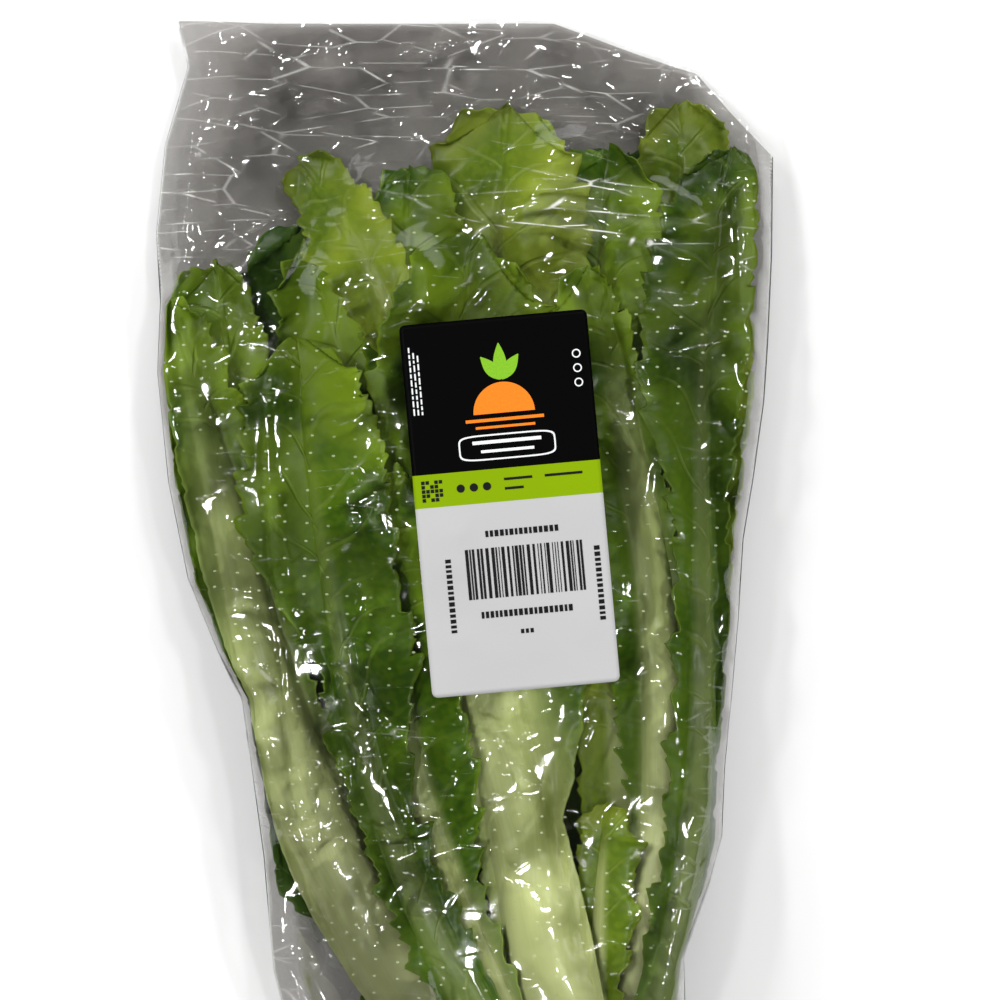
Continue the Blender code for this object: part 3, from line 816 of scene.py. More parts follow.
@dataclass(frozen=True)
class LeafPlan:
    """One leaf: its rib's course in plan, its half widths, its stalk and how finely it is made.

    The rib is a curve that leaves the root towards one point and arrives at the tip from another.
    """

    name: str
    root_x: float
    leaving: Point
    arriving: Point
    tip: Point
    left: float
    right: float
    stalk_width: float
    stalk_depth: float
    outer_up: bool
    tone: Tone
    pitch: float
    frill: float = 1.0
    # This factor and the rib and tip factors below scale the leaf's colour: partly its own tone, partly
    # painted light and shade that lighten a shadowed blade or darken a lit one.
    tone_and_painted_light: float = 1.0
    pale: float = 1.0
    taper: float = 0.9
    broaden: Point = (0.06, 0.55)
    slot: str = "leaf_green"
    left_from: Point | None = None
    spread: Point = (1.0, 1.0)
    rib_tone_and_painted_light: float = 1.0
    tip_tone_and_painted_light: float = 1.0


# Each leaf's brightness factors, for the whole leaf, its rib and its tip, are partly its tone and partly
# painted light and shade.
LEAVES = (
    LeafPlan("back_leaf_1", 0.016, (-0.014, -0.091), (-0.043, 0.002), (-0.046, 0.112),
             0.038, 0.036, 0.022, 0.0042, False, Tone.DARK, 0.0024),
    LeafPlan("back_leaf_2", 0.047, (0.058, -0.082), (0.054, 0.028), (0.054, 0.134),
             0.036, 0.028, 0.022, 0.0042, False, Tone.DARK, 0.0024),
    LeafPlan("back_leaf_3", 0.026, (0.012, -0.075), (-0.004, 0.038), (-0.006, 0.128),
             0.036, 0.036, 0.018, 0.0038, False, Tone.DARK, 0.0026),
    LeafPlan("back_leaf_4", 0.002, (-0.052, -0.112), (-0.074, -0.011), (-0.078, 0.070),
             0.031, 0.022, 0.018, 0.0040, False, Tone.DARK, 0.0018, broaden=(0.12, 0.50)),
    LeafPlan("back_leaf_5", 0.058, (0.070, -0.108), (0.066, -0.011), (0.070, 0.094),
             0.022, 0.016, 0.018, 0.0040, False, Tone.DARK, 0.0018),
    LeafPlan("back_leaf_6", 0.038, (0.037, -0.075), (0.028, 0.038), (0.024, 0.130),
             0.034, 0.034, 0.016, 0.0034, False, Tone.OUTER, 0.0022),
    LeafPlan("inner_leaf_1", 0.049, (0.068, -0.057), (0.078, 0.046), (0.070, 0.150),
             0.018, 0.020, 0.013, 0.0028, False, Tone.INNER, 0.0014, 1.2, 0.82, slot="inner_leaf_green"),
    LeafPlan("inner_leaf_2", 0.041, (0.050, -0.061), (0.037, 0.037), (0.047, 0.135),
             0.024, 0.022, 0.012, 0.0026, False, Tone.OUTER, 0.0014, 1.2, slot="inner_leaf_green"),
    LeafPlan("inner_leaf_3", 0.033, (0.014, -0.058), (0.003, 0.045), (0.014, 0.149),
             0.027, 0.031, 0.012, 0.0028, False, Tone.INNER, 0.0013, 1.3, 0.80, slot="inner_leaf_green"),
    LeafPlan("inner_leaf_4", 0.016, (-0.026, -0.077), (-0.019, 0.019), (-0.051, 0.103),
             0.018, 0.023, 0.012, 0.0026, True, Tone.OUTER, 0.0013, 1.2, 0.85, slot="inner_leaf_green"),
    LeafPlan("inner_leaf_5", 0.025, (0.004, -0.064), (-0.022, 0.032), (-0.018, 0.129),
             0.015, 0.019, 0.012, 0.0026, True, Tone.OUTER, 0.0013, 1.2, 0.85, slot="inner_leaf_green"),
    LeafPlan("inner_leaf_6", 0.031, (0.004, -0.063), (0.012, 0.049), (-0.053, 0.131),
             0.013, 0.012, 0.010, 0.0030, True, Tone.INNER, 0.0012, 1.2, 0.92, 0.9, 0.5, (0.60, 0.92),
             "inner_leaf_green", tip_tone_and_painted_light=0.80),
    LeafPlan("heart_leaf_1", 0.042, (0.055, -0.118), (0.055, -0.080), (0.044, -0.010),
             0.012, 0.012, 0.013, 0.0030, True, Tone.INNER, 0.0018, 1.0, 1.0, 1.0, 0.4,
             slot="inner_leaf_green"),
    LeafPlan("small_leaf", 0.057, (0.064, -0.134), (0.063, -0.107), (0.078, -0.085),
             0.006, 0.010, 0.006, 0.0018, True, Tone.INNER, 0.0009, 0.8, slot="inner_leaf_green"),
    LeafPlan("side_leaf_left", 0.005, (-0.050, -0.085), (-0.072, 0.007), (-0.081, 0.097),
             0.024, 0.012, 0.012, 0.0034, True, Tone.OUTER, 0.0012, 1.1, 0.34, 0.6,
             tip_tone_and_painted_light=2.4),
    LeafPlan("front_leaf_left", 0.002, (-0.064, -0.096), (-0.068, 0.004), (-0.096, 0.086),
             0.010, 0.009, 0.026, 0.0080, True, Tone.OUTER, 0.0012, 0.8, 0.9, 1.0, 0.7,
             spread=(2.4, 1.35), rib_tone_and_painted_light=0.92),
    LeafPlan("front_leaf_right", 0.050, (0.076, -0.072), (0.063, 0.012), (0.040, 0.096),
             0.017, 0.007, 0.014, 0.0044, True, Tone.OUTER, 0.0012, 0.8, 1.0, 1.0, 0.38,
             spread=(1.3, 1.3)),
    LeafPlan("side_leaf_right", 0.056, (0.095, -0.063), (0.062, 0.037), (0.087, 0.134),
             0.019, 0.013, 0.012, 0.0030, True, Tone.OUTER, 0.0012, 1.1, 0.62, 0.35,
             broaden=(0.38, 0.80), left_from=(0.48, 0.80)),
    LeafPlan("heart_leaf_2", 0.043, (0.043, -0.132), (0.043, -0.105), (0.047, -0.078),
             0.007, 0.008, 0.006, 0.0018, True, Tone.INNER, 0.0010, 0.8, slot="inner_leaf_green"),
    LeafPlan("front_leaf_middle", 0.032, (0.023, -0.071), (-0.022, 0.012), (0.002, 0.103),
             0.022, 0.034, 0.026, 0.0074, True, Tone.OUTER, 0.0012, 1.0, 1.45,
             spread=(1.5, 3.0), rib_tone_and_painted_light=0.88, tip_tone_and_painted_light=0.55),
    LeafPlan("front_leaf_second", 0.019, (-0.014, -0.103), (-0.030, -0.037), (-0.023, 0.028),
             0.014, 0.020, 0.014, 0.0050, True, Tone.OUTER, 0.0012, 1.0, 1.25, 1.0, 0.7,
             spread=(1.5, 1.4)),
    LeafPlan("front_leaf_inner", 0.016, (-0.037, -0.092), (-0.042, -0.010), (-0.054, 0.070),
             0.022, 0.021, 0.012, 0.0040, True, Tone.OUTER, 0.0011, 1.1, 0.80, 0.3,
             broaden=(0.24, 0.60), left_from=(0.45, 0.80)),
)


@dataclass
class Leaf:
    """A leaf's fine sheet, laid on the pile."""

    plan: LeafPlan
    number: int
    blade: float = 0.0005
    air: float = 0.0010
    root_air: float = 0.0020
    loose_from: Point = (0.07, 0.13)
    wing: float = 0.003
    least_stalk: float = 0.0006
    stalk_most: float = 0.82
    round_from: float = 0.85
    tip_width: float = 0.42
    tip_sweep: float = 0.24
    tooth: float = 0.0023
    tooth_pitch: float = 0.0046
    lobe: float = 0.0050
    lobe_pitch: float = 0.0150
    width_drift: float = 0.024
    root_share: float = 0.16
    wavy_from: Point = (0.06, 0.14)
    ruffle: float = 0.0034
    ruffle_pitch: float = 0.026
    ruffle_drift: float = 0.05
    ripple_pitch: Point = (0.007, 0.012)
    swell_wave: float = 0.0024
    swell_pitch: Point = (0.016, 0.021)
    pucker: float = 0.0009
    pucker_pitch: float = 0.008
    puckered_from: Point = (0.05, 0.12)
    fold_clear: float = 0.0035
    fold_least: float = 0.0030
    back_clear: float = 0.0050
    fold_slack: float = 0.0040
    fine_pitch: float = 0.0018
    flutes: float = 3.0
    flute_depth: float = 0.05

    def _course(self) -> None:
        """Work out the rows: their middles, headings and half widths."""
        leaf = self.plan
        root = np.array((leaf.root_x, ROOT_Y))
        one, two, tip = map(np.array, (leaf.leaving, leaf.arriving, leaf.tip))
        length = math.dist(leaf.tip, root)
        rows = max(24, int(length / leaf.pitch))
        self.v = 1.0 - (1.0 - np.linspace(0.0, 1.0, rows + 1)) ** 1.2
        v, w = self.v[:, None], 1.0 - self.v[:, None]
        self.centre = w**3 * root + 3 * w**2 * v * one + 3 * w * v**2 * two + v**3 * tip
        heading = w**2 * (one - root) + 2 * w * v * (two - one) + v**2 * (tip - two)
        self.heading = heading / np.linalg.norm(heading, axis=1, keepdims=True)
        level = eased(0.0, self.root_share, v)
        sideways = np.stack([self.heading[:, 1], -self.heading[:, 0]], axis=1) * level
        sideways += (1.0 - level) * np.array((1.0, 0.0))
        self.sideways = sideways / np.linalg.norm(sideways, axis=1, keepdims=True)
        run = np.linalg.norm(np.diff(self.centre, axis=0), axis=1)
        self.along = np.concatenate([[0.0], np.cumsum(run)])

    def _steps(self) -> np.ndarray:
        """Where the columns are: from -1 to 1 on the stalk, and out to -2 and 2 on the blade.

        Returns:
            One row of steps, from the left margin to the right one.
        """
        leaf = self.plan
        inner = 11 if leaf.pitch < self.fine_pitch else 7
        outer = max(6, int(max(leaf.left, leaf.right) / (1.35 * leaf.pitch)))
        wing = np.linspace(1.0, 2.0, outer + 1)[1:]
        return np.concatenate([-wing[::-1], np.linspace(-1.0, 1.0, inner), wing])[None, :]

    def _widths(self, side: np.ndarray) -> tuple[np.ndarray, np.ndarray]:
        """Half widths, with slow lobes, a rounded tip and a blade that opens out from its stalk.

        Args:
            side: which columns are right of the rib.

        Returns:
            The half width of the whole leaf and that of its stalk, at each point.
        """
        leaf, v = self.plan, self.v[:, None]
        stalk = 0.5 * leaf.stalk_width * (1.0 - v) ** leaf.taper + self.least_stalk
        narrow = 0.5 * leaf.stalk_width * (1.0 - 0.5 * v) + self.wing
        beyond = np.clip((v - self.round_from) / (1.0 - self.round_from), 0.0, 1.0)
        rounding = np.sqrt(1.0 - (1.0 - self.tip_width**2) * beyond**2)
        drift = noise(self.along[:, None] / self.width_drift, 7.0 * side, 11 + self.number)
        left_from = leaf.left_from or leaf.broaden
        opening = np.where(side, eased(*leaf.broaden, v), eased(*left_from, v))
        full = np.where(side, leaf.right, leaf.left) * (1.0 + 0.10 * drift)
        width = np.maximum(full * opening, narrow) * rounding
        return width, np.minimum(stalk, self.stalk_most * width)

    def _lay_out(self) -> None:
        """Work out every point's place in plan, its thickness and what the finish reads."""
        leaf, v = self.plan, self.v[:, None]
        step = self._steps()
        side = step > 0
        width, stalk = self._widths(side)
        beyond = (np.abs(step) - 1.0) * (width - stalk)
        reach = np.where(np.abs(step) <= 1.0, step * stalk, np.sign(step) * (stalk + beyond))
        self.out = np.abs(reach) / width
        spread = np.where(side, leaf.spread[1], leaf.spread[0])
        pale = 1.0 - eased(0.74 - 0.16 * spread, 1.22, np.abs(reach) / (stalk * spread))
        self.rib = leaf.pale * pale * (1.0 - eased(0.72, 0.97, v))
        self.flat = self._margin(step, reach, width)
        thinning = 1.0 - 0.35 * (1.0 - eased(0.0, self.root_share, v))
        round_part = np.sqrt(np.clip(1.0 - step**2, 0.0, 1.0))
        flutes = self.flute_depth * np.cos(2 * math.pi * step * self.flutes) * round_part
        self.swell = leaf.stalk_depth * thinning * (1.0 - v) ** 0.8 * (round_part + flutes)
        self.swell = np.clip(self.swell, 0.0, None)
        self.across = reach
        self.v_all = np.broadcast_to(v, reach.shape)
        self.metres = np.broadcast_to(self.along[:, None], reach.shape)

    def _margin(self, step: np.ndarray, reach: np.ndarray, width: np.ndarray) -> np.ndarray:
        """Sweep the tip back, cut the teeth and keep the leaf inside the sack.

        Args:
            step: where the columns are.
            reach: each point's distance from the rib, below zero on its left.
            width: the leaf's half width at each point.

        Returns:
            Each point's place in plan.
        """
        v = self.v[:, None]
        rim = eased(0.80, 1.0, self.out) * eased(0.08, 0.16, v) * (1.0 - self.rib)
        crest = eased(0.93, 1.0, v)
        rim = np.maximum(rim, crest * eased(0.90, 1.0, v))
        bite = self._teeth(self.along[:, None] + crest * np.abs(reach), step > 0)
        back = self.tip_sweep * v * width * self.out**2
        plan = self.centre[:, None] + self.sideways[:, None] * reach[..., None]
        plan = self._inside(plan - self.heading[:, None] * back[..., None])
        x, y = plan[..., 0], plan[..., 1]
        room = np.minimum(x - fold_x(SACK_LEFT, y), fold_x(SACK_RIGHT, y) - x)
        jut = rim * np.minimum(bite, 0.3 * np.maximum(room, 0.0))
        outward = np.sign(step)[..., None] * self.sideways[:, None] + 0.55 * self.heading[:, None]
        ahead = (crest * (1.0 - 0.8 * self.out))[..., None]
        outward = (1.0 - ahead) * outward + ahead * self.heading[:, None]
        flat = plan + outward * jut[..., None]
        y = flat[..., 1]
        left, right = fold_x(SACK_LEFT, y) + self.fold_least, fold_x(SACK_RIGHT, y) - self.fold_least
        flat[..., 0] = np.clip(flat[..., 0], left, right)
        return flat

    def _teeth(self, metres: np.ndarray, side: np.ndarray) -> np.ndarray:
        """How far the margin stands out: slow rises and steep falls to the tip, on broad lobes.

        Args:
            metres: how far along the margin each point is.
            side: which columns are right of the rib.

        Returns:
            The distance at each point.
        """
        jut = 0.0
        for pitch, reach, seed in ((self.tooth_pitch, self.tooth, 5), (self.lobe_pitch, self.lobe, 7)):
            wander = noise(metres / (2.7 * pitch), 3.0 * side, 31 * seed + self.number)
            course = metres / pitch + 0.6 * wander
            index = np.floor(course)
            share = course - index
            tooth = index.astype(np.int64)
            size = 0.60 + 0.40 * scattered(tooth, side.astype(np.int64), 17 * self.number + seed)
            rise = np.where(share < 0.7, (share / 0.7) ** 1.3, ((1.0 - share) / 0.3) ** 0.8)
            jut = jut + reach * size * rise
        return jut

    def _inside(self, plan: np.ndarray) -> np.ndarray:
        """Push the points near the sack's folds softly back inside them.

        Args:
            plan: each point's place.

        Returns:
            The places, none of them near a fold.
        """
        clear = self.fold_clear if self.plan.outer_up else self.back_clear
        result = plan.copy()
        for points, side in ((SACK_LEFT, 1.0), (SACK_RIGHT, -1.0)):
            fold = fold_x(points, result[..., 1])
            room = side * (result[..., 0] - fold)
            near = clear + self.fold_slack
            pushed = clear + self.fold_slack * np.exp((np.minimum(room, near) - near) / self.fold_slack)
            result[..., 0] = np.where(room < near, fold + side * pushed, result[..., 0])
        return result

    def _waves(self) -> np.ndarray:
        """How far the margin's ruffles and the puckers between the veins stand up.

        Returns:
            The height of each point above the smooth surface.
        """
        metres, across, number = self.metres, self.across, self.number
        out, side = np.clip(self.out, 0.0, 1.0), np.sign(across)
        turn = metres / self.ruffle_pitch + 0.8 * noise(metres / self.ruffle_drift, 2.0 * side, 41 + number)
        wave = 0.5 + 0.5 * np.sin(2 * math.pi * turn + 1.7 * number + 1.2 * side)
        long, wide = self.ripple_pitch
        small = 0.5 + 0.5 * noise(metres / long, across / wide, 51 + number)
        broad = eased(*self.wavy_from, metres)
        ruffle = self.ruffle * self.plan.frill * out**2.2 * broad * (0.75 * wave + 0.35 * small)
        wide, long = self.swell_pitch
        swells = 0.5 + 0.5 * noise(across / wide + 5.0, metres / long, 71 + number)
        ruffle = ruffle + self.swell_wave * self.plan.frill * swells * broad * (0.25 + 0.75 * out)
        course = (metres - VEIN_SLANT * np.abs(across) ** VEIN_BOW) / VEIN_PITCH
        course = course + VEIN_LAG * (across < 0)
        uneven = noise(across / self.pucker_pitch, metres / self.pucker_pitch, 61 + number)
        quilt = np.abs(np.sin(math.pi * course)) * 0.6 + 0.5 + 0.5 * uneven
        plain = 1.0 - np.clip(1.6 * self.rib, 0.0, 1.0)
        pucker = self.pucker * quilt * plain * eased(*self.puckered_from, metres) * (0.35 + 0.65 * out)
        return ruffle * (0.1 + 0.9 * plain) + pucker

    def build(self, pile: Pile) -> tuple[float, float]:
        """Lay the leaf on the pile and make its mesh.

        Args:
            pile: the height map, which the leaf is added to.

        Returns:
            The lowest and highest point of the leaf's root.
        """
        self._course()
        self._lay_out()
        leaf = self.plan
        under = np.zeros(self.swell.shape) if leaf.outer_up else self.swell
        limp = 1.0 + 6.0 * np.clip(self.out, 0.0, 1.0) ** 2
        air = self.root_air + (self.air - self.root_air) * eased(*self.loose_from, self.metres)
        surface = pile.settle(self.flat, under, air, limp)
        depth = self.blade + self.swell
        low = surface - under + self._waves()
        high = low + depth
        pile.cover(self.flat, high)
        level = low if leaf.outer_up else high
        made = add_grid(leaf.name, np.concatenate([self.flat, level[..., None]], axis=2))
        set_uv(made, self.across, self.metres)
        for name, values in (("rib", self.rib), ("out", self.out), ("high", self.v_all)):
            set_values(made, name, np.ascontiguousarray(values))
        # Painted light: the stored brightness, per leaf, towards the tip and on the rib, is partly the
        # leaf's tone and partly painted light and shade.
        towards_tip = 1.0 + (leaf.tip_tone_and_painted_light - 1.0) * eased(0.45, 0.75, self.v_all)
        set_values(made, "tone_and_painted_light", leaf.tone_and_painted_light * towards_tip * (1.0 + (leaf.rib_tone_and_painted_light - 1.0) * self.rib))
        group = made.vertex_groups.new(name="depth")
        most = float(depth.max())
        for index, share in enumerate((depth / most).ravel()):
            group.add((index,), float(share), "REPLACE")
        apply_modifier(
            made, "SOLIDIFY", thickness=most, offset=1.0 if leaf.outer_up else -1.0,
            vertex_group="depth", thickness_vertex_group=0.0, use_even_offset=False,
        )
        smooth(made)
        self.made = made
        return float(low[0].min()), float(high[0].max())

    def dress(self, finishes: dict[Tone, Material]) -> None:
        """Give the leaf its finish and hand it over."""
        hand_over(self.made, finishes[self.plan.tone], self.plan.slot, self.plan.name)


@dataclass
class CutCrown:
    """The short stub that the leaves grow from, cut flat."""

    middle_x: float = 0.031
    half_width: float = 0.030
    length: float = 0.011
    gap: float = 0.0003
    edge: float = 0.0022
    dent: float = 0.0006
    cut_steps: tuple[Point, ...] = ((0.0030, 0.0), (0.0040, -0.0006), (0.0050, -0.0003))
    sides: int = 64

    def build(self, low: float, high: float) -> None:
        """Turn a cylinder into an oval stub, rounded to its cut and ringed by leaf scars.

        Args:
            low: the lowest point of the leaves' roots.
            high: the highest point of them.
        """
        half_height, middle = 0.5 * (high - low), 0.5 * (high + low)
        front = ROOT_Y - self.gap
        deselect()
        bpy.ops.mesh.primitive_cylinder_add(
            vertices=self.sides, radius=1.0, depth=self.length, end_fill_type="NGON",
            location=(self.middle_x, front - 0.5 * self.length, middle),
            rotation=(math.pi / 2, 0.0, 0.0),
        )
        self.made = bpy.context.active_object
        self.made.name = self.made.data.name = "cut_crown"
        bpy.ops.object.transform_apply(location=True, rotation=True, scale=True)
        bpy.ops.object.mode_set(mode="EDIT")
        bpy.ops.mesh.select_all(action="SELECT")
        bpy.ops.transform.resize(
            value=(self.half_width, 1.0, half_height), center_override=(self.middle_x, front, middle)
        )
        bpy.ops.object.mode_set(mode="OBJECT")
        self._select_cut(front)
        bpy.ops.object.mode_set(mode="EDIT")
        for inset, push in self.cut_steps:
            bpy.ops.mesh.inset(thickness=inset, depth=push)
        bpy.ops.object.mode_set(mode="OBJECT")
        apply_modifier(
            self.made, "BEVEL", width=self.edge, segments=3, limit_method="ANGLE",
            angle_limit=math.radians(50),
        )
        apply_modifier(self.made, "SUBSURF", levels=1, render_levels=1)
        self._roughen(front)
        smooth(self.made)

    def _select_cut(self, front: float) -> None:
        """Select the cut face alone.

        Args:
            front: where the leaves' roots meet the stub.
        """
        deselect()
        mesh = self.made.data
        for edge in mesh.edges:
            edge.select = False
        for corner in mesh.vertices:
            corner.select = False
        for face in mesh.polygons:
            face.select = face.center.y < front - 0.9 * self.length and abs(face.normal.y) > 0.9
        self.made.select_set(True)
        bpy.context.view_layer.objects.active = self.made

    def _roughen(self, front: float) -> None:
        """Press shallow leaf scars into the stub's side.

        Args:
            front: where the leaves' roots meet the stub.
        """
        mesh = self.made.data
        place = np.empty(len(mesh.vertices) * 3, np.float32)
        mesh.vertices.foreach_get("co", place)
        place = place.reshape(-1, 3)
        turn = np.arctan2(place[:, 2] - place[:, 2].mean(), place[:, 0] - self.middle_x)
        dent = self.dent * noise(turn * 3.0, (place[:, 1] - front) / 0.006, 71)
        place[:, 1] += np.where(place[:, 1] < front - 0.002, 0.6 * dent, 0.0)
        mesh.vertices.foreach_set("co", place.ravel())
        mesh.update()

    def cover(self, pile: Pile, low: float, high: float) -> None:
        """Raise the height map to the stub's upper side.

        Args:
            pile: the height map.
            low: the stub's lowest point.
            high: its highest point.
        """
        across = np.cos(np.linspace(math.pi, 0.0, 41))
        x = self.middle_x + self.half_width * across
        y = ROOT_Y - self.gap - np.linspace(0.0, self.length, 12)
        plan = np.stack(np.meshgrid(x, y), axis=-1)
        top = 0.5 * (high + low) + 0.5 * (high - low) * np.sqrt(1.0 - across**2)
        pile.cover(plan, np.broadcast_to(top, plan.shape[:2]).copy())

    def dress(self) -> None:
        """Give the stub its finish and hand it over."""
        hand_over(self.made, CROWN.make(), "pale_crown", "crown")


@dataclass(frozen=True)
class Crease:
    """A sharp crease of the film: a line of points, and how high and wide its ridge is."""

    points: tuple[Point, ...]
    height: float
    width: float
    milk: float = 0.0


CREASES = (
    Crease(((0.042, 0.151), (0.058, 0.143), (0.076, 0.134)), 0.0016, 0.0022),
    Crease(((0.057, 0.126), (0.069, 0.121), (0.082, 0.111)), 0.0018, 0.0024),
    Crease(((0.076, 0.134), (0.080, 0.122), (0.082, 0.111)), 0.0014, 0.0020),
    Crease(((0.091, 0.131), (0.092, 0.105), (0.090, 0.076)), 0.0016, 0.0022, 0.3),
    Crease(((-0.064, 0.060), (-0.063, 0.030), (-0.060, 0.000), (-0.056, -0.040), (-0.052, -0.075),
            (-0.046, -0.108)), 0.0014, 0.0024),
    Crease(((-0.038, -0.002), (-0.033, -0.008), (-0.034, -0.018), (-0.037, -0.024)), 0.0014, 0.0018),
    Crease(((-0.060, 0.052), (-0.045, 0.055), (-0.030, 0.051)), 0.0012, 0.0018),
    Crease(((-0.052, 0.018), (-0.040, 0.022), (-0.028, 0.028)), 0.0012, 0.0018),
    Crease(((-0.050, -0.010), (-0.036, -0.013), (-0.024, -0.009)), 0.0012, 0.0018),
    Crease(((-0.038, -0.034), (-0.025, -0.052), (-0.012, -0.062)), 0.0013, 0.0018),
    Crease(((-0.040, -0.088), (-0.022, -0.086), (0.000, -0.078)), 0.0014, 0.0018),
    Crease(((-0.034, -0.094), (-0.014, -0.092), (0.004, -0.084)), 0.0013, 0.0018),
    Crease(((0.008, -0.055), (0.016, -0.063), (0.024, -0.072)), 0.0013, 0.0020),
    Crease(((0.042, -0.046), (0.036, -0.062), (0.030, -0.080)), 0.0013, 0.0018),
    Crease(((0.010, -0.098), (0.020, -0.104), (0.026, -0.112)), 0.0014, 0.0020),
    Crease(((-0.002, 0.112), (0.030, 0.118), (0.060, 0.110), (0.084, 0.112)), 0.0012, 0.0030, 0.8),
    Crease(((0.000, 0.108), (0.028, 0.112), (0.055, 0.105), (0.082, 0.103)), 0.0012, 0.0024, 0.8),
    Crease(((0.004, 0.121), (0.034, 0.124), (0.066, 0.119)), 0.0012, 0.0022, 0.7),
    Crease(((-0.088, 0.132), (-0.091, 0.110), (-0.090, 0.088)), 0.0018, 0.0034, 0.6),
    Crease(((-0.094, 0.118), (-0.093, 0.100), (-0.094, 0.084)), 0.0014, 0.0026, 0.5),
    Crease(((-0.080, -0.030), (-0.072, -0.060), (-0.066, -0.095), (-0.058, -0.130)),
           0.0016, 0.0030, 0.5),
    Crease(((-0.076, -0.040), (-0.066, -0.075), (-0.058, -0.110)), 0.0012, 0.0022, 0.4),
    Crease(((0.078, -0.040), (0.078, -0.075), (0.070, -0.105), (0.064, -0.125)), 0.0014, 0.0026, 0.25),
    Crease(((0.084, -0.010), (0.082, -0.050), (0.078, -0.090)), 0.0012, 0.0024, 0.2),
)


@dataclass(frozen=True)
class Crumple:
    """One size of the film's crumpling: its facets' spacing and its lift where taut and where slack."""

    pitch: float
    seed: int
    taut: float
    slack: float
    stretch: Point = (1.0, 1.0)


CRUMPLES = (
    Crumple(0.0170, 3, 0.00060, 0.00220, (1.3, 1.0)),
    Crumple(0.0068, 5, 0.00022, 0.00070),
    Crumple(0.0036, 7, 0.00006, 0.00022),
)


@dataclass
class FilmSack:
    """The clear film sack: an upper skin that lies on the pile and a back skin under it."""

    spacing: float = 0.0014
    film: float = 0.0005
    fold_height: float = 0.009
    neck_height: float = 0.021
    neck_y: float = -0.112
    neck_span: float = 0.050
    fold_reach: float = 0.038
    clear: float = 0.0006
    loose: int = 360
    evening: int = 6
    droop: float = 24.0
    settling: int = 160
    bare: float = 0.001
    free_reach: float = 0.010
    back_reach: float = 0.012
    back_lifts: Point = (0.0010, 0.0005)
    back_milk: float = 0.6
    crease_reach: float = 0.006

    def _plan(self) -> np.ndarray:
        """The flat sack's grid of points, from the weld to the mouth.

        Returns:
            Rows x columns x 2 places.
        """
        rows = int((SACK_MOUTH[0][1] - SACK_END_Y) / self.spacing)
        columns = int((SACK_RIGHT[0][0] - SACK_LEFT[3][0]) / self.spacing)
        across = np.linspace(0.0, 1.0, columns + 1)
        mouth_x = [point[0] for point in SACK_MOUTH]
        mouth_y = [point[1] for point in SACK_MOUTH]
        top = np.interp(mouth_x[0] + across * (mouth_x[-1] - mouth_x[0]), mouth_x, mouth_y)
        share = np.linspace(0.0, 1.0, rows + 1)[:, None]
        y = SACK_END_Y + share * (top[None, :] - SACK_END_Y)
        left, right = fold_x(SACK_LEFT, y), fold_x(SACK_RIGHT, y)
        return np.stack([left + across * (right - left), y], axis=2)

    def lay_back(self, pile: Pile) -> None:
        """Lay the back skin, which everything else rests on.

        Args:
            pile: the height map.
        """
        self.plan = self._plan()
        self.near = self._fold_distance()
        neck = np.exp(-(((self.plan[..., 1] - self.neck_y) / self.neck_span) ** 2))
        height = self.fold_height + (self.neck_height - self.fold_height) * neck
        self.back = height * (1.0 - eased(0.0, self.fold_reach, self.near)) ** 1.5
        pile.cover(self.plan, self.back + self.film)
        self.empty = pile.height.copy()

    def _fold_distance(self) -> np.ndarray:
        """Each point's distance to the folds and the weld.

        Returns:
            The distance, 0 on them.
        """
        x, y = self.plan[..., 0], self.plan[..., 1]
        near = np.minimum(x - fold_x(SACK_LEFT, y), fold_x(SACK_RIGHT, y) - x)
        return np.maximum(np.minimum(near, y - SACK_END_Y), 0.0)

    def _facets(self, crumple: Crumple) -> np.ndarray:
        """Crumpled film: flat facets between scattered points of uneven height.

        Args:
            crumple: which size of crumpling.

        Returns:
            The height at each point of the film, from -1 to 1.
        """
        rng = np.random.default_rng(crumple.seed)
        low, high = np.array((-0.115, -0.21)), np.array((0.115, 0.19))
        step = crumple.pitch * np.array(crumple.stretch)
        count = np.ceil((high - low) / step).astype(int)
        i, j = np.meshgrid(np.arange(count[0] + 1), np.arange(count[1] + 1), indexing="ij")
        shaken = rng.uniform(-0.48, 0.48, (i.size, 2))
        spots = low + step * (np.stack([i, j], axis=2).reshape(-1, 2) + shaken)
        heights = rng.uniform(-1.0, 1.0, len(spots))
        corners, _, faces, *_ = delaunay_2d_cdt([Vector(spot) for spot in spots], [], [], 0, 1e-6)
        tree = BVHTree.FromPolygons([(*corner, h) for corner, h in zip(corners, heights)], faces)
        down = Vector((0.0, 0.0, -1.0))
        flat = self.plan.reshape(-1, 2)
        found = np.zeros(len(flat))
        for index, (x, y) in enumerate(flat):
            hit = tree.ray_cast(Vector((x, y, 2.0)), down)[0]
            found[index] = hit.z if hit is not None else 0.0
        return found.reshape(self.plan.shape[:2])

    def _ridge(self, crease: Crease) -> np.ndarray:
        """A crease's ridge, from 0 to 1, fading out at its ends.

        Args:
            crease: the crease.

        Returns:
            Its ridge at each point of the film.
        """
        points = np.array(crease.points)
        runs = np.linalg.norm(np.diff(points, axis=0), axis=1)
        before, whole = 0.0, runs.sum()
        ridge = np.zeros(self.plan.shape[:2])
        bend = 0.0012 * noise(self.plan[..., 0] / 0.009, self.plan[..., 1] / 0.009, 83)
        for a, b, run in zip(points[:-1], points[1:], runs):
            along = np.clip(((self.plan - a) @ (b - a)) / run**2, 0.0, 1.0)
            off = np.linalg.norm(self.plan - a - along[..., None] * (b - a), axis=2) + bend
            place = (before + along * run) / whole
            fade = np.clip(4.0 * np.minimum(place, 1.0 - place) + 0.1, 0.0, 1.0)
            ridge = np.maximum(ridge, fade * np.clip(1.0 - np.abs(off) / crease.width, 0.0, 1.0))
            before += run
        return ridge

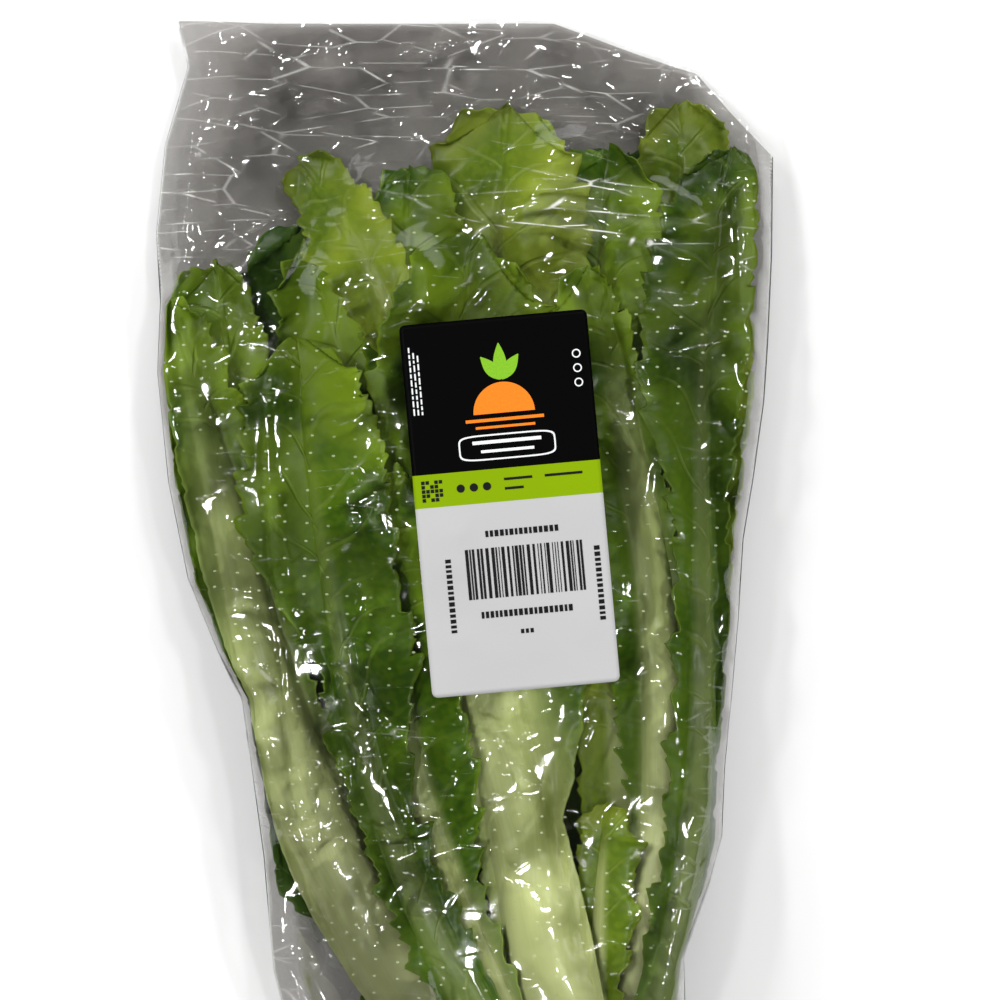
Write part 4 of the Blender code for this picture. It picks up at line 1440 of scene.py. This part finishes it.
    def _loose_creases(self) -> tuple[Crease, ...]:
        """Short creases scattered over the film, most of them across the sack.

        Returns:
            The creases.
        """
        rng = np.random.default_rng(97)
        made = []
        while len(made) < self.loose:
            x, y = rng.uniform(-0.098, 0.098), rng.uniform(-0.19, 0.176)
            if rng.random() > (1.0 if x < -0.02 or y > 0.09 else 0.45):
                continue
            turn = rng.normal(0.35, 0.50) if y > 0.02 else rng.normal(1.2, 0.8)
            reach = 0.5 * rng.uniform(0.006, 0.028) * (1.5 if y > 0.09 else 1.0)
            run = reach * np.array((math.cos(turn), math.sin(turn)))
            kink = rng.normal(0.0, 0.10, 2) * reach
            start, middle, end = (x, y) - run, (x, y) + kink, (x, y) + run
            points = tuple((float(p[0]), float(p[1])) for p in (start, middle, end))
            height, width = rng.uniform(0.0004, 0.0011), rng.uniform(0.0011, 0.0017)
            made.append(Crease(points, height, width, rng.uniform(0.0, 0.35)))
        return tuple(made)

    def _draped(
        self, pile: Pile, held: np.ndarray, edge: np.ndarray
    ) -> tuple[np.ndarray, np.ndarray]:
        """Let the upper skin down on the pile, smooth as yet.

        Args:
            pile: the height map, with everything in the sack laid down.
            held: which points are on a fold or the weld.
            edge: the height that those keep.

        Returns:
            Its height at each point, and how slack it is there: 1 where the sack is empty.
        """
        flat, limp = np.zeros(held.shape), np.ones(held.shape)
        top = pile.settle(self.plan, flat, self.clear, limp, self.droop, held, edge, self.settling)
        below = pile.widened()[pile.cells(self.plan)]
        top = np.maximum(self._softened(top, self.evening), below + 0.3 * self.clear) + 0.5 * self.clear
        bare = below < self.empty[pile.cells(self.plan)] + self.bare
        return self._softened(top, 2), self._softened(bare.astype(float), 6)

    def _crumpled(
        self, patterns: list[np.ndarray], slack: np.ndarray
    ) -> tuple[np.ndarray, np.ndarray]:
        """Crumple and crease the upper skin.

        Args:
            patterns: the facets of each size of crumpling.
            slack: how slack each point is.

        Returns:
            How far each point is lifted, and how milky it is.
        """
        lift = np.zeros(slack.shape)
        for crumple, pattern in zip(CRUMPLES, patterns):
            lift = lift + (crumple.taut + crumple.slack * slack) * (pattern + 1.0)
        milk = np.clip(slack * (0.30 + 0.5 * np.abs(patterns[1]) ** 3), 0.0, 1.0)
        for crease in (*CREASES, *self._loose_creases()):
            low = np.min(crease.points, axis=0) - self.crease_reach
            high = np.max(crease.points, axis=0) + self.crease_reach
            if not ((self.plan > low) & (self.plan < high)).all(axis=2).any():
                continue
            ridge = self._ridge(crease)
            lift = lift + crease.height * ridge
            milk = np.maximum(milk, crease.milk * np.clip(1.6 * ridge, 0.0, 1.0))
        return lift, milk

    def _skin(self, name: str, height: np.ndarray, milk: np.ndarray) -> Piece:
        """Make one skin.

        Args:
            name: its name.
            height: its height at each point.
            milk: how milky it is there.

        Returns:
            The skin's mesh object.
        """
        made = add_grid(name, np.concatenate([self.plan, height[..., None]], axis=2))
        set_values(made, "crease", milk)
        smooth(made)
        return made

    def build(self, pile: Pile) -> None:
        """Lay the upper skin over the pile, crumple both skins and make their meshes.

        Args:
            pile: the height map, with everything in the sack laid down.
        """
        held = np.zeros(self.near.shape, bool)
        held[:, 0] = held[:, -1] = held[0] = True
        edge = self.back + 0.5 * self.film
        draped, slack = self._draped(pile, held, edge)
        patterns = [self._facets(crumple) for crumple in CRUMPLES]
        lift, milk = self._crumpled(patterns, slack)
        free = eased(0.0, self.free_reach, self.near)
        self.top = np.where(held, edge, draped + lift * free)
        big, small = (high * (facets + 1.0) for high, facets in zip(self.back_lifts, patterns))
        back = self.back + (big + small) * slack * free * eased(0.0, self.back_reach, self.near)
        back = np.minimum(np.where(held, edge, back), self.top - 0.3 * self.film * ~held)
        back = np.where(held, edge, np.maximum(back, 0.0))
        self.made = self._skin("film_sack", self.top, milk)
        self.under = self._skin("film_back", back, self.back_milk * milk)
        self.under.data.flip_normals()

    @staticmethod
    def _softened(values: np.ndarray, times: int) -> np.ndarray:
        """Values blurred over their neighbours.

        Args:
            values: the values.
            times: how often they are blurred.

        Returns:
            The blurred values.
        """
        for _ in range(times):
            wide = np.pad(values, 1, mode="edge")
            values = 0.2 * (values + wide[:-2, 1:-1] + wide[2:, 1:-1] + wide[1:-1, :-2] + wide[1:-1, 2:])
        return values

    def height_at(self, spots: np.ndarray) -> np.ndarray:
        """The upper skin's height at these plan points.

        Args:
            spots: the plan points.

        Returns:
            The heights, not a number off the film.
        """
        tree = BVHTree.FromObject(self.made, bpy.context.evaluated_depsgraph_get())
        down = Vector((0.0, 0.0, -1.0))
        hits = [tree.ray_cast(Vector((x, y, 0.2)), down)[0] for x, y in spots.reshape(-1, 2)]
        return np.array([math.nan if hit is None else hit.z for hit in hits]).reshape(spots.shape[:-1])

    def dress(self) -> None:
        """Give each skin its finish, join them at the folds and hand the sack over."""
        self.under.data.materials.clear()
        self.made.data.materials.clear()
        clear, smoky = FILM_TOP.make(), FILM_BACK.make()
        self.made.data.materials.append(clear)
        self.under.data.materials.append(smoky)
        deselect()
        self.under.select_set(True)
        self.made.select_set(True)
        bpy.context.view_layer.objects.active = self.made
        bpy.ops.object.join()
        bpy.ops.object.mode_set(mode="EDIT")
        bpy.ops.mesh.select_all(action="SELECT")
        bpy.ops.mesh.remove_doubles(threshold=0.00001)
        bpy.ops.object.mode_set(mode="OBJECT")
        smooth(self.made)
        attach(self.made, "root")
        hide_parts("bag")
        LOG.info("%s: %d faces", self.made.name, len(self.made.data.polygons))


@dataclass
class VentHoles:
    """The needle holes' molten rims, in staggered rows over the upper skin."""

    pitch_x: float = 0.0073
    pitch_y: float = 0.0056
    half_long: float = 0.00062
    half_wide: float = 0.00040
    rise: float = 0.00018
    sides: int = 8
    turn: float = math.radians(-3.0)
    shaken: float = 0.00022
    probe: float = 0.0012
    steepest: float = 0.8
    from_fold: float = 0.006
    from_weld: float = 0.008
    last_y: float = 0.125
    missing: float = 0.06
    profile: tuple[Point, ...] = ((1.0, -0.3), (0.72, 1.0), (0.34, 0.35))

    def _spots(self) -> np.ndarray:
        """Where the holes are, clear of the folds and the sticker.

        Returns:
            Their places in plan.
        """
        rng = np.random.default_rng(19)
        i, j = np.meshgrid(np.arange(-16, 17), np.arange(-36, 34), indexing="ij")
        flat = np.stack([i * self.pitch_x, j * self.pitch_y], axis=2).reshape(-1, 2)
        flat = (flat + rng.normal(0.0, self.shaken, flat.shape)) @ turned(self.turn)
        x, y = flat[:, 0], flat[:, 1]
        left, right = fold_x(SACK_LEFT, y) + self.from_fold, fold_x(SACK_RIGHT, y) - self.from_fold
        inside = (x > left) & (x < right) & (y > SACK_END_Y + self.from_weld) & (y < self.last_y)
        return flat[inside & ~Sticker.covers(flat) & (rng.random(len(flat)) > self.missing)]

    def build(self, sack: FilmSack) -> None:
        """Model one rim and set a copy of it at each hole, tilted with the film.

        Args:
            sack: the film sack, creased.
        """
        spots = self._spots()
        around = np.stack([spots, spots + (self.probe, 0.0), spots + (0.0, self.probe)], axis=1)
        height = sack.height_at(around)
        known = ~np.isnan(height).any(axis=1)
        spots, height = spots[known], height[known]
        slope = (height[:, 1:] - height[:, :1]) / self.probe
        slope = np.clip(slope, -self.steepest, self.steepest)
        angle = np.arange(self.sides) * 2 * math.pi / self.sides
        corners, faces = [], []
        for (x, y), (z, _, _), (tilt_x, tilt_y) in zip(spots, height, slope):
            first = len(corners)
            for scale, rise in self.profile:
                for a in angle:
                    dx, dy = self.half_long * scale * math.cos(a), self.half_wide * scale * math.sin(a)
                    corners.append((x + dx, y + dy, z + tilt_x * dx + tilt_y * dy + self.rise * rise))
            n = self.sides
            for ring in range(2):
                for side in range(n):
                    a, b = first + ring * n + side, first + ring * n + (side + 1) % n
                    faces.append((a, b, b + n, a + n))
            faces.append(tuple(first + 2 * n + side for side in range(n)))
        self.made = add_mesh("vent_rims", corners, faces)
        smooth(self.made)

    def dress(self) -> None:
        """Give the rims their finish and hand them over."""
        hand_over(self.made, VENT_RIMS_AND_PAINTED_HIGHLIGHTS.make(), "clear_film")


class Ink(Enum):
    """The sticker's inks."""

    BLACK = InkFinish("black_ink", (0.008, 0.008, 0.009))
    WHITE = InkFinish("white_ink", (0.78, 0.80, 0.80))
    ORANGE = InkFinish("orange_ink", (0.86, 0.21, 0.012))
    GREEN = InkFinish("green_ink", (0.20, 0.46, 0.020))


@dataclass
class Sticker:
    """The printed sticker on the front, with generic motifs, blank bars and no lettering."""

    width: float = 0.060
    length: float = 0.119
    paper: float = 0.00016
    corner: float = 0.0018
    centre: Point = (0.0146, 0.0204)
    turn: float = math.radians(5.2)
    columns: int = 40
    rows: int = 80
    clear: float = 0.001
    air: float = 0.0003
    ink: float = 0.00003
    ink_rise: float = 0.00007
    ink_step: float = 0.000006

    @staticmethod
    def covers(spots: np.ndarray) -> np.ndarray:
        """Whether each plan point lies under the sticker.

        Args:
            spots: the plan points.

        Returns:
            True where the sticker is.
        """
        own = Sticker()
        reach = 0.5 * np.array((own.width, own.length)) + own.clear
        return (np.abs((spots - own.centre) @ turned(-own.turn)) < reach).all(axis=-1)

    def _placed(self, local: np.ndarray) -> np.ndarray:
        """Sticker points, measured from its lower left corner, in plan."""
        return (local - (0.5 * self.width, 0.5 * self.length)) @ turned(self.turn) + self.centre

    def build(self, pile: Pile) -> None:
        """Lay the paper on the film and print it.

        Args:
            pile: the height map, with the film laid down.
        """
        x = np.linspace(0.0, self.width, self.columns + 1)
        y = np.linspace(0.0, self.length, self.rows + 1)
        local = self._rounded(np.stack(np.meshgrid(x, y), axis=2))
        plan = self._placed(local)
        shape = plan.shape[:2]
        level = pile.settle(plan, np.zeros(shape), self.air, np.ones(shape), 2.0, steps=160)
        self.level = level + self.paper
        self.made = add_grid("sticker", np.concatenate([plan, level[..., None]], axis=2))
        set_uv(self.made, local[..., 0], local[..., 1])
        apply_modifier(self.made, "SOLIDIFY", thickness=self.paper, offset=1.0)
        smooth(self.made)
        self.prints = {ink: self._pressed(ink, patches) for ink, patches in self._artwork().items()}

    def _rounded(self, local: np.ndarray) -> np.ndarray:
        """Draw the sheet's corners in to a round.

        Args:
            local: the points, from the sheet's lower left corner.

        Returns:
            The points of the rounded sheet.
        """
        size = np.array((self.width, self.length))
        beyond = local - np.clip(local, np.full(2, self.corner), size - self.corner)
        both = (np.abs(beyond) > 0).all(axis=2)
        reach = np.linalg.norm(beyond, axis=2)
        share = np.where(both & (reach > self.corner), self.corner / np.maximum(reach, 1e-9), 1.0)
        return local - beyond * (1.0 - share[..., None])

    @staticmethod
    def _block(x: float, y: float, wide: float, tall: float) -> np.ndarray:
        """A rectangle.

        Args:
            x: its left edge.
            y: its lower edge.
            wide: its width.
            tall: its height.

        Returns:
            Rows x columns x 2 points.
        """
        u = np.linspace(x, x + wide, max(2, int(wide / 0.002) + 2))
        v = np.linspace(y, y + tall, max(2, int(tall / 0.002) + 2))
        return np.stack(np.meshgrid(u, v), axis=2)

    @staticmethod
    def _ring(
        x: float, y: float, inner: float, outer: float, start: float = 0.0, end: float = 360.0
    ) -> np.ndarray:
        """A ring, or part of one.

        Args:
            x: its middle.
            y: its middle.
            inner: its inner radius.
            outer: its outer radius.
            start: where it starts, in degrees.
            end: where it ends, in degrees.

        Returns:
            Rows x columns x 2 points.
        """
        angle = np.radians(np.linspace(end, start, 49))[None, :]
        radius = np.linspace(inner, outer, 4)[:, None]
        return np.stack([x + radius * np.cos(angle), y + radius * np.sin(angle)], axis=2)

    @staticmethod
    def _sprig(x: float, y: float, long: float, wide: float, turn: float) -> np.ndarray:
        """A pointed leaf shape.

        Args:
            x: its foot.
            y: its foot.
            long: its length.
            wide: its width.
            turn: its direction, in degrees.

        Returns:
            Rows x columns x 2 points.
        """
        share = np.linspace(0.02, 0.98, 21)[:, None]
        side = np.linspace(-0.5, 0.5, 5)[None, :]
        across = wide * np.sin(math.pi * share**0.85) * side
        forward = long * share
        cos, sin = math.cos(math.radians(turn)), math.sin(math.radians(turn))
        return np.stack([x + forward * cos + across * sin, y + forward * sin - across * cos], axis=2)

    @staticmethod
    def _pill(x: float, y: float, wide: float, tall: float, line: float) -> np.ndarray:
        """A rounded outline.

        Args:
            x: its left edge.
            y: its lower edge.
            wide: its width.
            tall: its height.
            line: its line's thickness.

        Returns:
            Rows x columns x 2 points.
        """
        angle = np.linspace(0.0, 2 * math.pi, 65)[:-1]
        circle = np.stack([np.cos(angle), np.sin(angle)], axis=1)
        shape = np.sign(circle) * np.abs(circle) ** 0.35
        shape = np.concatenate([shape, shape[:1]])
        middle = np.array((x + 0.5 * wide, y + 0.5 * tall))
        outer = middle + shape * (0.5 * wide, 0.5 * tall)
        inner = middle + shape * (0.5 * wide - line, 0.5 * tall - line)
        return np.stack([outer, inner])

    def _row(
        self, y: float, start: float, end: float, tall: float, rng: np.random.Generator
    ) -> list[np.ndarray]:
        """A row of uneven small blocks across the sticker.

        Args:
            y: the row's lower edge.
            start: its left end.
            end: its right end.
            tall: its height.
            rng: where the widths come from.

        Returns:
            The blocks.
        """
        made, x = [], start
        while x < end:
            wide = rng.uniform(0.0008, 0.0013)
            made.append(self._block(x, y, wide, tall))
            x += wide + 0.0005
        return made

    def _column(
        self, x: float, start: float, end: float, wide: float, most: float, rng: np.random.Generator
    ) -> list[np.ndarray]:
        """A column of uneven small blocks up the sticker.

        Args:
            x: the column's left edge.
            start: its lower end.
            end: its upper end.
            wide: its width.
            most: the tallest block.
            rng: where the heights come from.

        Returns:
            The blocks.
        """
        made, y = [], start
        while y < end:
            tall = rng.uniform(0.0008, most)
            made.append(self._block(x, y, wide, tall))
            y += tall + 0.0006
        return made

    def _bars(self, rng: np.random.Generator) -> list[np.ndarray]:
        """Upright bars that encode nothing.

        Args:
            rng: where the widths and gaps come from.

        Returns:
            The bars.
        """
        made, x = [], 0.0145
        while x < 0.0525:
            wide = rng.choice((0.00028, 0.00050, 0.00075, 0.00100))
            made.append(self._block(x, 0.0300, wide, 0.0160))
            x += wide + rng.choice((0.00035, 0.00055, 0.00085))
        return made

    def _artwork(self) -> dict[Ink, list[np.ndarray]]:
        """A plain sprig over a half disc, blank outlines, blocks, dots and bars.

        Returns:
            Every printed patch, by ink.
        """
        rng = np.random.default_rng(41)
        orange = [
            self._ring(0.031, 0.0885, 0.0, 0.0098, 0.0, 180.0),
            self._block(0.0185, 0.0860, 0.0250, 0.0010),
            self._block(0.0215, 0.0838, 0.0190, 0.0008),
        ]
        sprigs = ((52.0, 0.0100), (90.0, 0.0120), (128.0, 0.0100))
        green = [self._sprig(0.031, 0.0990, long, 0.0042, turn) for turn, long in sprigs]
        white = [
            self._pill(0.0155, 0.0738, 0.0310, 0.0082, 0.0005),
            self._block(0.0200, 0.0790, 0.0220, 0.0011),
            self._block(0.0225, 0.0762, 0.0170, 0.0009),
        ]
        for row in range(3):
            white += self._column(0.0022 + 0.0013 * row, 0.0900, 0.1120 - 0.002 * row, 0.0005, 0.0022, rng)
        white += [self._ring(0.0555, 0.0960 + 0.0046 * row, 0.0010, 0.0014) for row in range(3)]
        black = [self._ring(0.0150 + 0.0042 * column, 0.0656, 0.0, 0.0013) for column in range(3)]
        for column in range(5):
            for row in range(5):
                if (column * row + column) % 3 != 1:
                    x, y = 0.0026 + 0.0014 * column, 0.0622 + 0.0014 * row
                    black.append(self._block(x, y, 0.0011, 0.0011))
        lines = ((0.0290, 0.0670, 0.0090), (0.0290, 0.0640, 0.0060), (0.0420, 0.0670, 0.0120),
                 (0.0450, 0.0670, 0.0090))
        black += [self._block(x, y, wide, 0.0008) for x, y, wide in lines]
        black += self._bars(rng)
        rows = ((0.0495, 0.0215, 0.0450, 0.0020), (0.0238, 0.0180, 0.0470, 0.0021),
                (0.0180, 0.0300, 0.0345, 0.0014))
        for y, start, end, tall in rows:
            black += self._row(y, start, end, tall, rng)
        for x in (0.0080, 0.0555):
            black += self._column(x, 0.0200, 0.0440, 0.0018, 0.0014, rng)
        return {Ink.BLACK: black, Ink.WHITE: white, Ink.ORANGE: orange, Ink.GREEN: green}

    def _level_at(self, local: np.ndarray) -> np.ndarray:
        """The paper's upper side at sticker points.

        Args:
            local: the points, from the lower left corner.

        Returns:
            The height at each.
        """
        u = np.clip(local[..., 0] / self.width * self.columns, 0.0, self.columns - 1e-6)
        v = np.clip(local[..., 1] / self.length * self.rows, 0.0, self.rows - 1e-6)
        i, j = v.astype(int), u.astype(int)
        fv, fu = v - i, u - j
        h = self.level
        low = h[i, j] * (1 - fu) + h[i, j + 1] * fu
        high = h[i + 1, j] * (1 - fu) + h[i + 1, j + 1] * fu
        return low * (1 - fv) + high * fv

    def _pressed(self, ink: Ink, patches: list[np.ndarray]) -> Piece:
        """Print one ink's patches as a thin piece that follows the paper.

        Args:
            ink: the ink.
            patches: its patches.

        Returns:
            The thin piece.
        """
        corners, faces = [], []
        for order, patch in enumerate(patches):
            first = len(corners)
            rows, columns = patch.shape[:2]
            plan = self._placed(patch).reshape(-1, 2)
            rise = self._level_at(patch).ravel() + self.ink_rise + self.ink_step * (order % 5)
            corners += [(x, y, z) for (x, y), z in zip(plan, rise)]
            for row in range(rows - 1):
                for column in range(columns - 1):
                    a = first + row * columns + column
                    faces.append((a, a + 1, a + columns + 1, a + columns))
        made = add_mesh(ink.value.name, corners, faces)
        deselect()
        made.select_set(True)
        bpy.context.view_layer.objects.active = made
        bpy.ops.object.mode_set(mode="EDIT")
        bpy.ops.mesh.select_all(action="SELECT")
        bpy.ops.mesh.remove_doubles(threshold=0.000002)
        bpy.ops.mesh.normals_make_consistent(inside=False)
        bpy.ops.object.mode_set(mode="OBJECT")
        if made.data.polygons[0].normal.z < 0:
            made.data.flip_normals()
        apply_modifier(made, "SOLIDIFY", thickness=self.ink, offset=1.0)
        return made

    def dress(self) -> None:
        """Give the paper and the inks their finishes and hand them over."""
        hand_over(self.made, STICKER_PAPER.make(), "label_paper", "label")
        for ink, made in self.prints.items():
            hand_over(made, ink.value.make(), "label_paper")


@dataclass(frozen=True)
class Lamp:
    """One square lamp that looks at the object. A mirrored one is seen in the film as a glint."""

    name: str
    place: tuple[float, float, float]
    size: float
    watts: float
    mirrored: bool


LAMPS = (
    Lamp("left", (-1.25, 0.60, 1.00), 0.8, 15.0, False),
    Lamp("right", (1.30, -0.10, 0.95), 0.8, 8.5, False),
    Lamp("far", (0.10, 1.60, 1.05), 0.8, 8.5, False),
    Lamp("spark_a", (0.35, 0.70, 1.00), 0.11, 2.6, True),
    Lamp("spark_b", (0.75, -0.25, 0.90), 0.09, 1.8, True),
    Lamp("spark_c", (-0.40, -0.70, 0.95), 0.09, 1.8, True),
    Lamp("spark_d", (-0.55, 0.20, 1.00), 0.09, 1.8, True),
    Lamp("spark_e", (-0.52, 0.70, 0.90), 0.09, 1.8, True),
    Lamp("spark_f", (0.46, -0.60, 1.05), 0.08, 1.7, True),
)


@dataclass
class Studio:
    """The floor, the lights and the camera above the object."""

    target: tuple[float, float, float] = (0.0116, 0.0215, 0.030)
    floor_size: float = 6.0
    floor_z: float = -0.0003
    sky: float = 0.25
    distance: float = 1.40
    across: float = 0.3226
    sensor: float = 36.0

    def build(self) -> None:
        """Set up the floor, the lights and the camera."""
        self._lay_floor()
        self._hang_lights()
        self._place_camera()

    def _lay_floor(self) -> None:
        """A plain pale floor."""
        deselect()
        bpy.ops.mesh.primitive_plane_add(size=self.floor_size, location=(0.0, 0.0, self.floor_z))
        floor = bpy.context.active_object
        floor.name = "floor"
        g = Graph("pale_floor")
        floor.data.materials.append(g.finish(g.body((0.86, 0.86, 0.86), 0.7, 0.2)))

    def _hang_lights(self) -> None:
        """Three broad soft lights, and six small ones that alone are mirrored by the film."""
        world = bpy.data.worlds.new("studio")
        bpy.context.scene.world = world
        world.use_nodes = True
        sky = world.node_tree.nodes["Background"]
        sky.inputs["Color"].default_value = (1.0, 1.0, 1.0, 1.0)
        sky.inputs["Strength"].default_value = self.sky
        world.cycles_visibility.glossy = False
        for lamp in LAMPS:
            light = bpy.data.lights.new(lamp.name, "AREA")
            light.shape, light.size, light.energy = "SQUARE", lamp.size, lamp.watts
            hung = bpy.data.objects.new(lamp.name, light)
            hung.location = lamp.place
            hung.visible_glossy = lamp.mirrored
            towards = Vector(self.target) - Vector(lamp.place)
            hung.rotation_euler = towards.to_track_quat("-Z", "Y").to_euler()
            bpy.context.scene.collection.objects.link(hung)

    def _place_camera(self) -> None:
        """A camera straight above, framed as the photograph."""
        camera = bpy.data.cameras.new("above")
        camera.sensor_width = self.sensor
        camera.lens = self.sensor * self.distance / self.across
        camera.clip_start, camera.clip_end = 0.01, 20.0
        eye = bpy.data.objects.new("above", camera)
        eye.location = (self.target[0], self.target[1], self.target[2] + self.distance)
        bpy.context.scene.collection.objects.link(eye)
        bpy.context.scene.camera = eye
        bpy.context.scene.view_settings.view_transform = "Standard"


def main() -> None:
    """Build and dress each piece in the order it is laid down."""
    logging.basicConfig(level=logging.INFO, format="%(message)s")
    pile = Pile()
    sack = FilmSack()
    sack.lay_back(pile)
    finishes = {tone: tone.value.make() for tone in Tone}
    lows, highs = [], []
    for number, plan in enumerate(LEAVES):
        leaf = Leaf(plan, number)
        low, high = leaf.build(pile)
        leaf.dress(finishes)
        lows.append(low)
        highs.append(high)
    crown = CutCrown()
    crown.build(min(lows), max(highs))
    crown.cover(pile, min(lows), max(highs))
    crown.dress()
    sack.build(pile)
    vents = VentHoles()
    vents.build(sack)
    pile.cover(sack.plan, sack.top)
    sticker = Sticker()
    sticker.build(pile)
    sack.dress()
    vents.dress()
    sticker.dress()
    Studio().build()


if __name__ == "__main__":
    main()
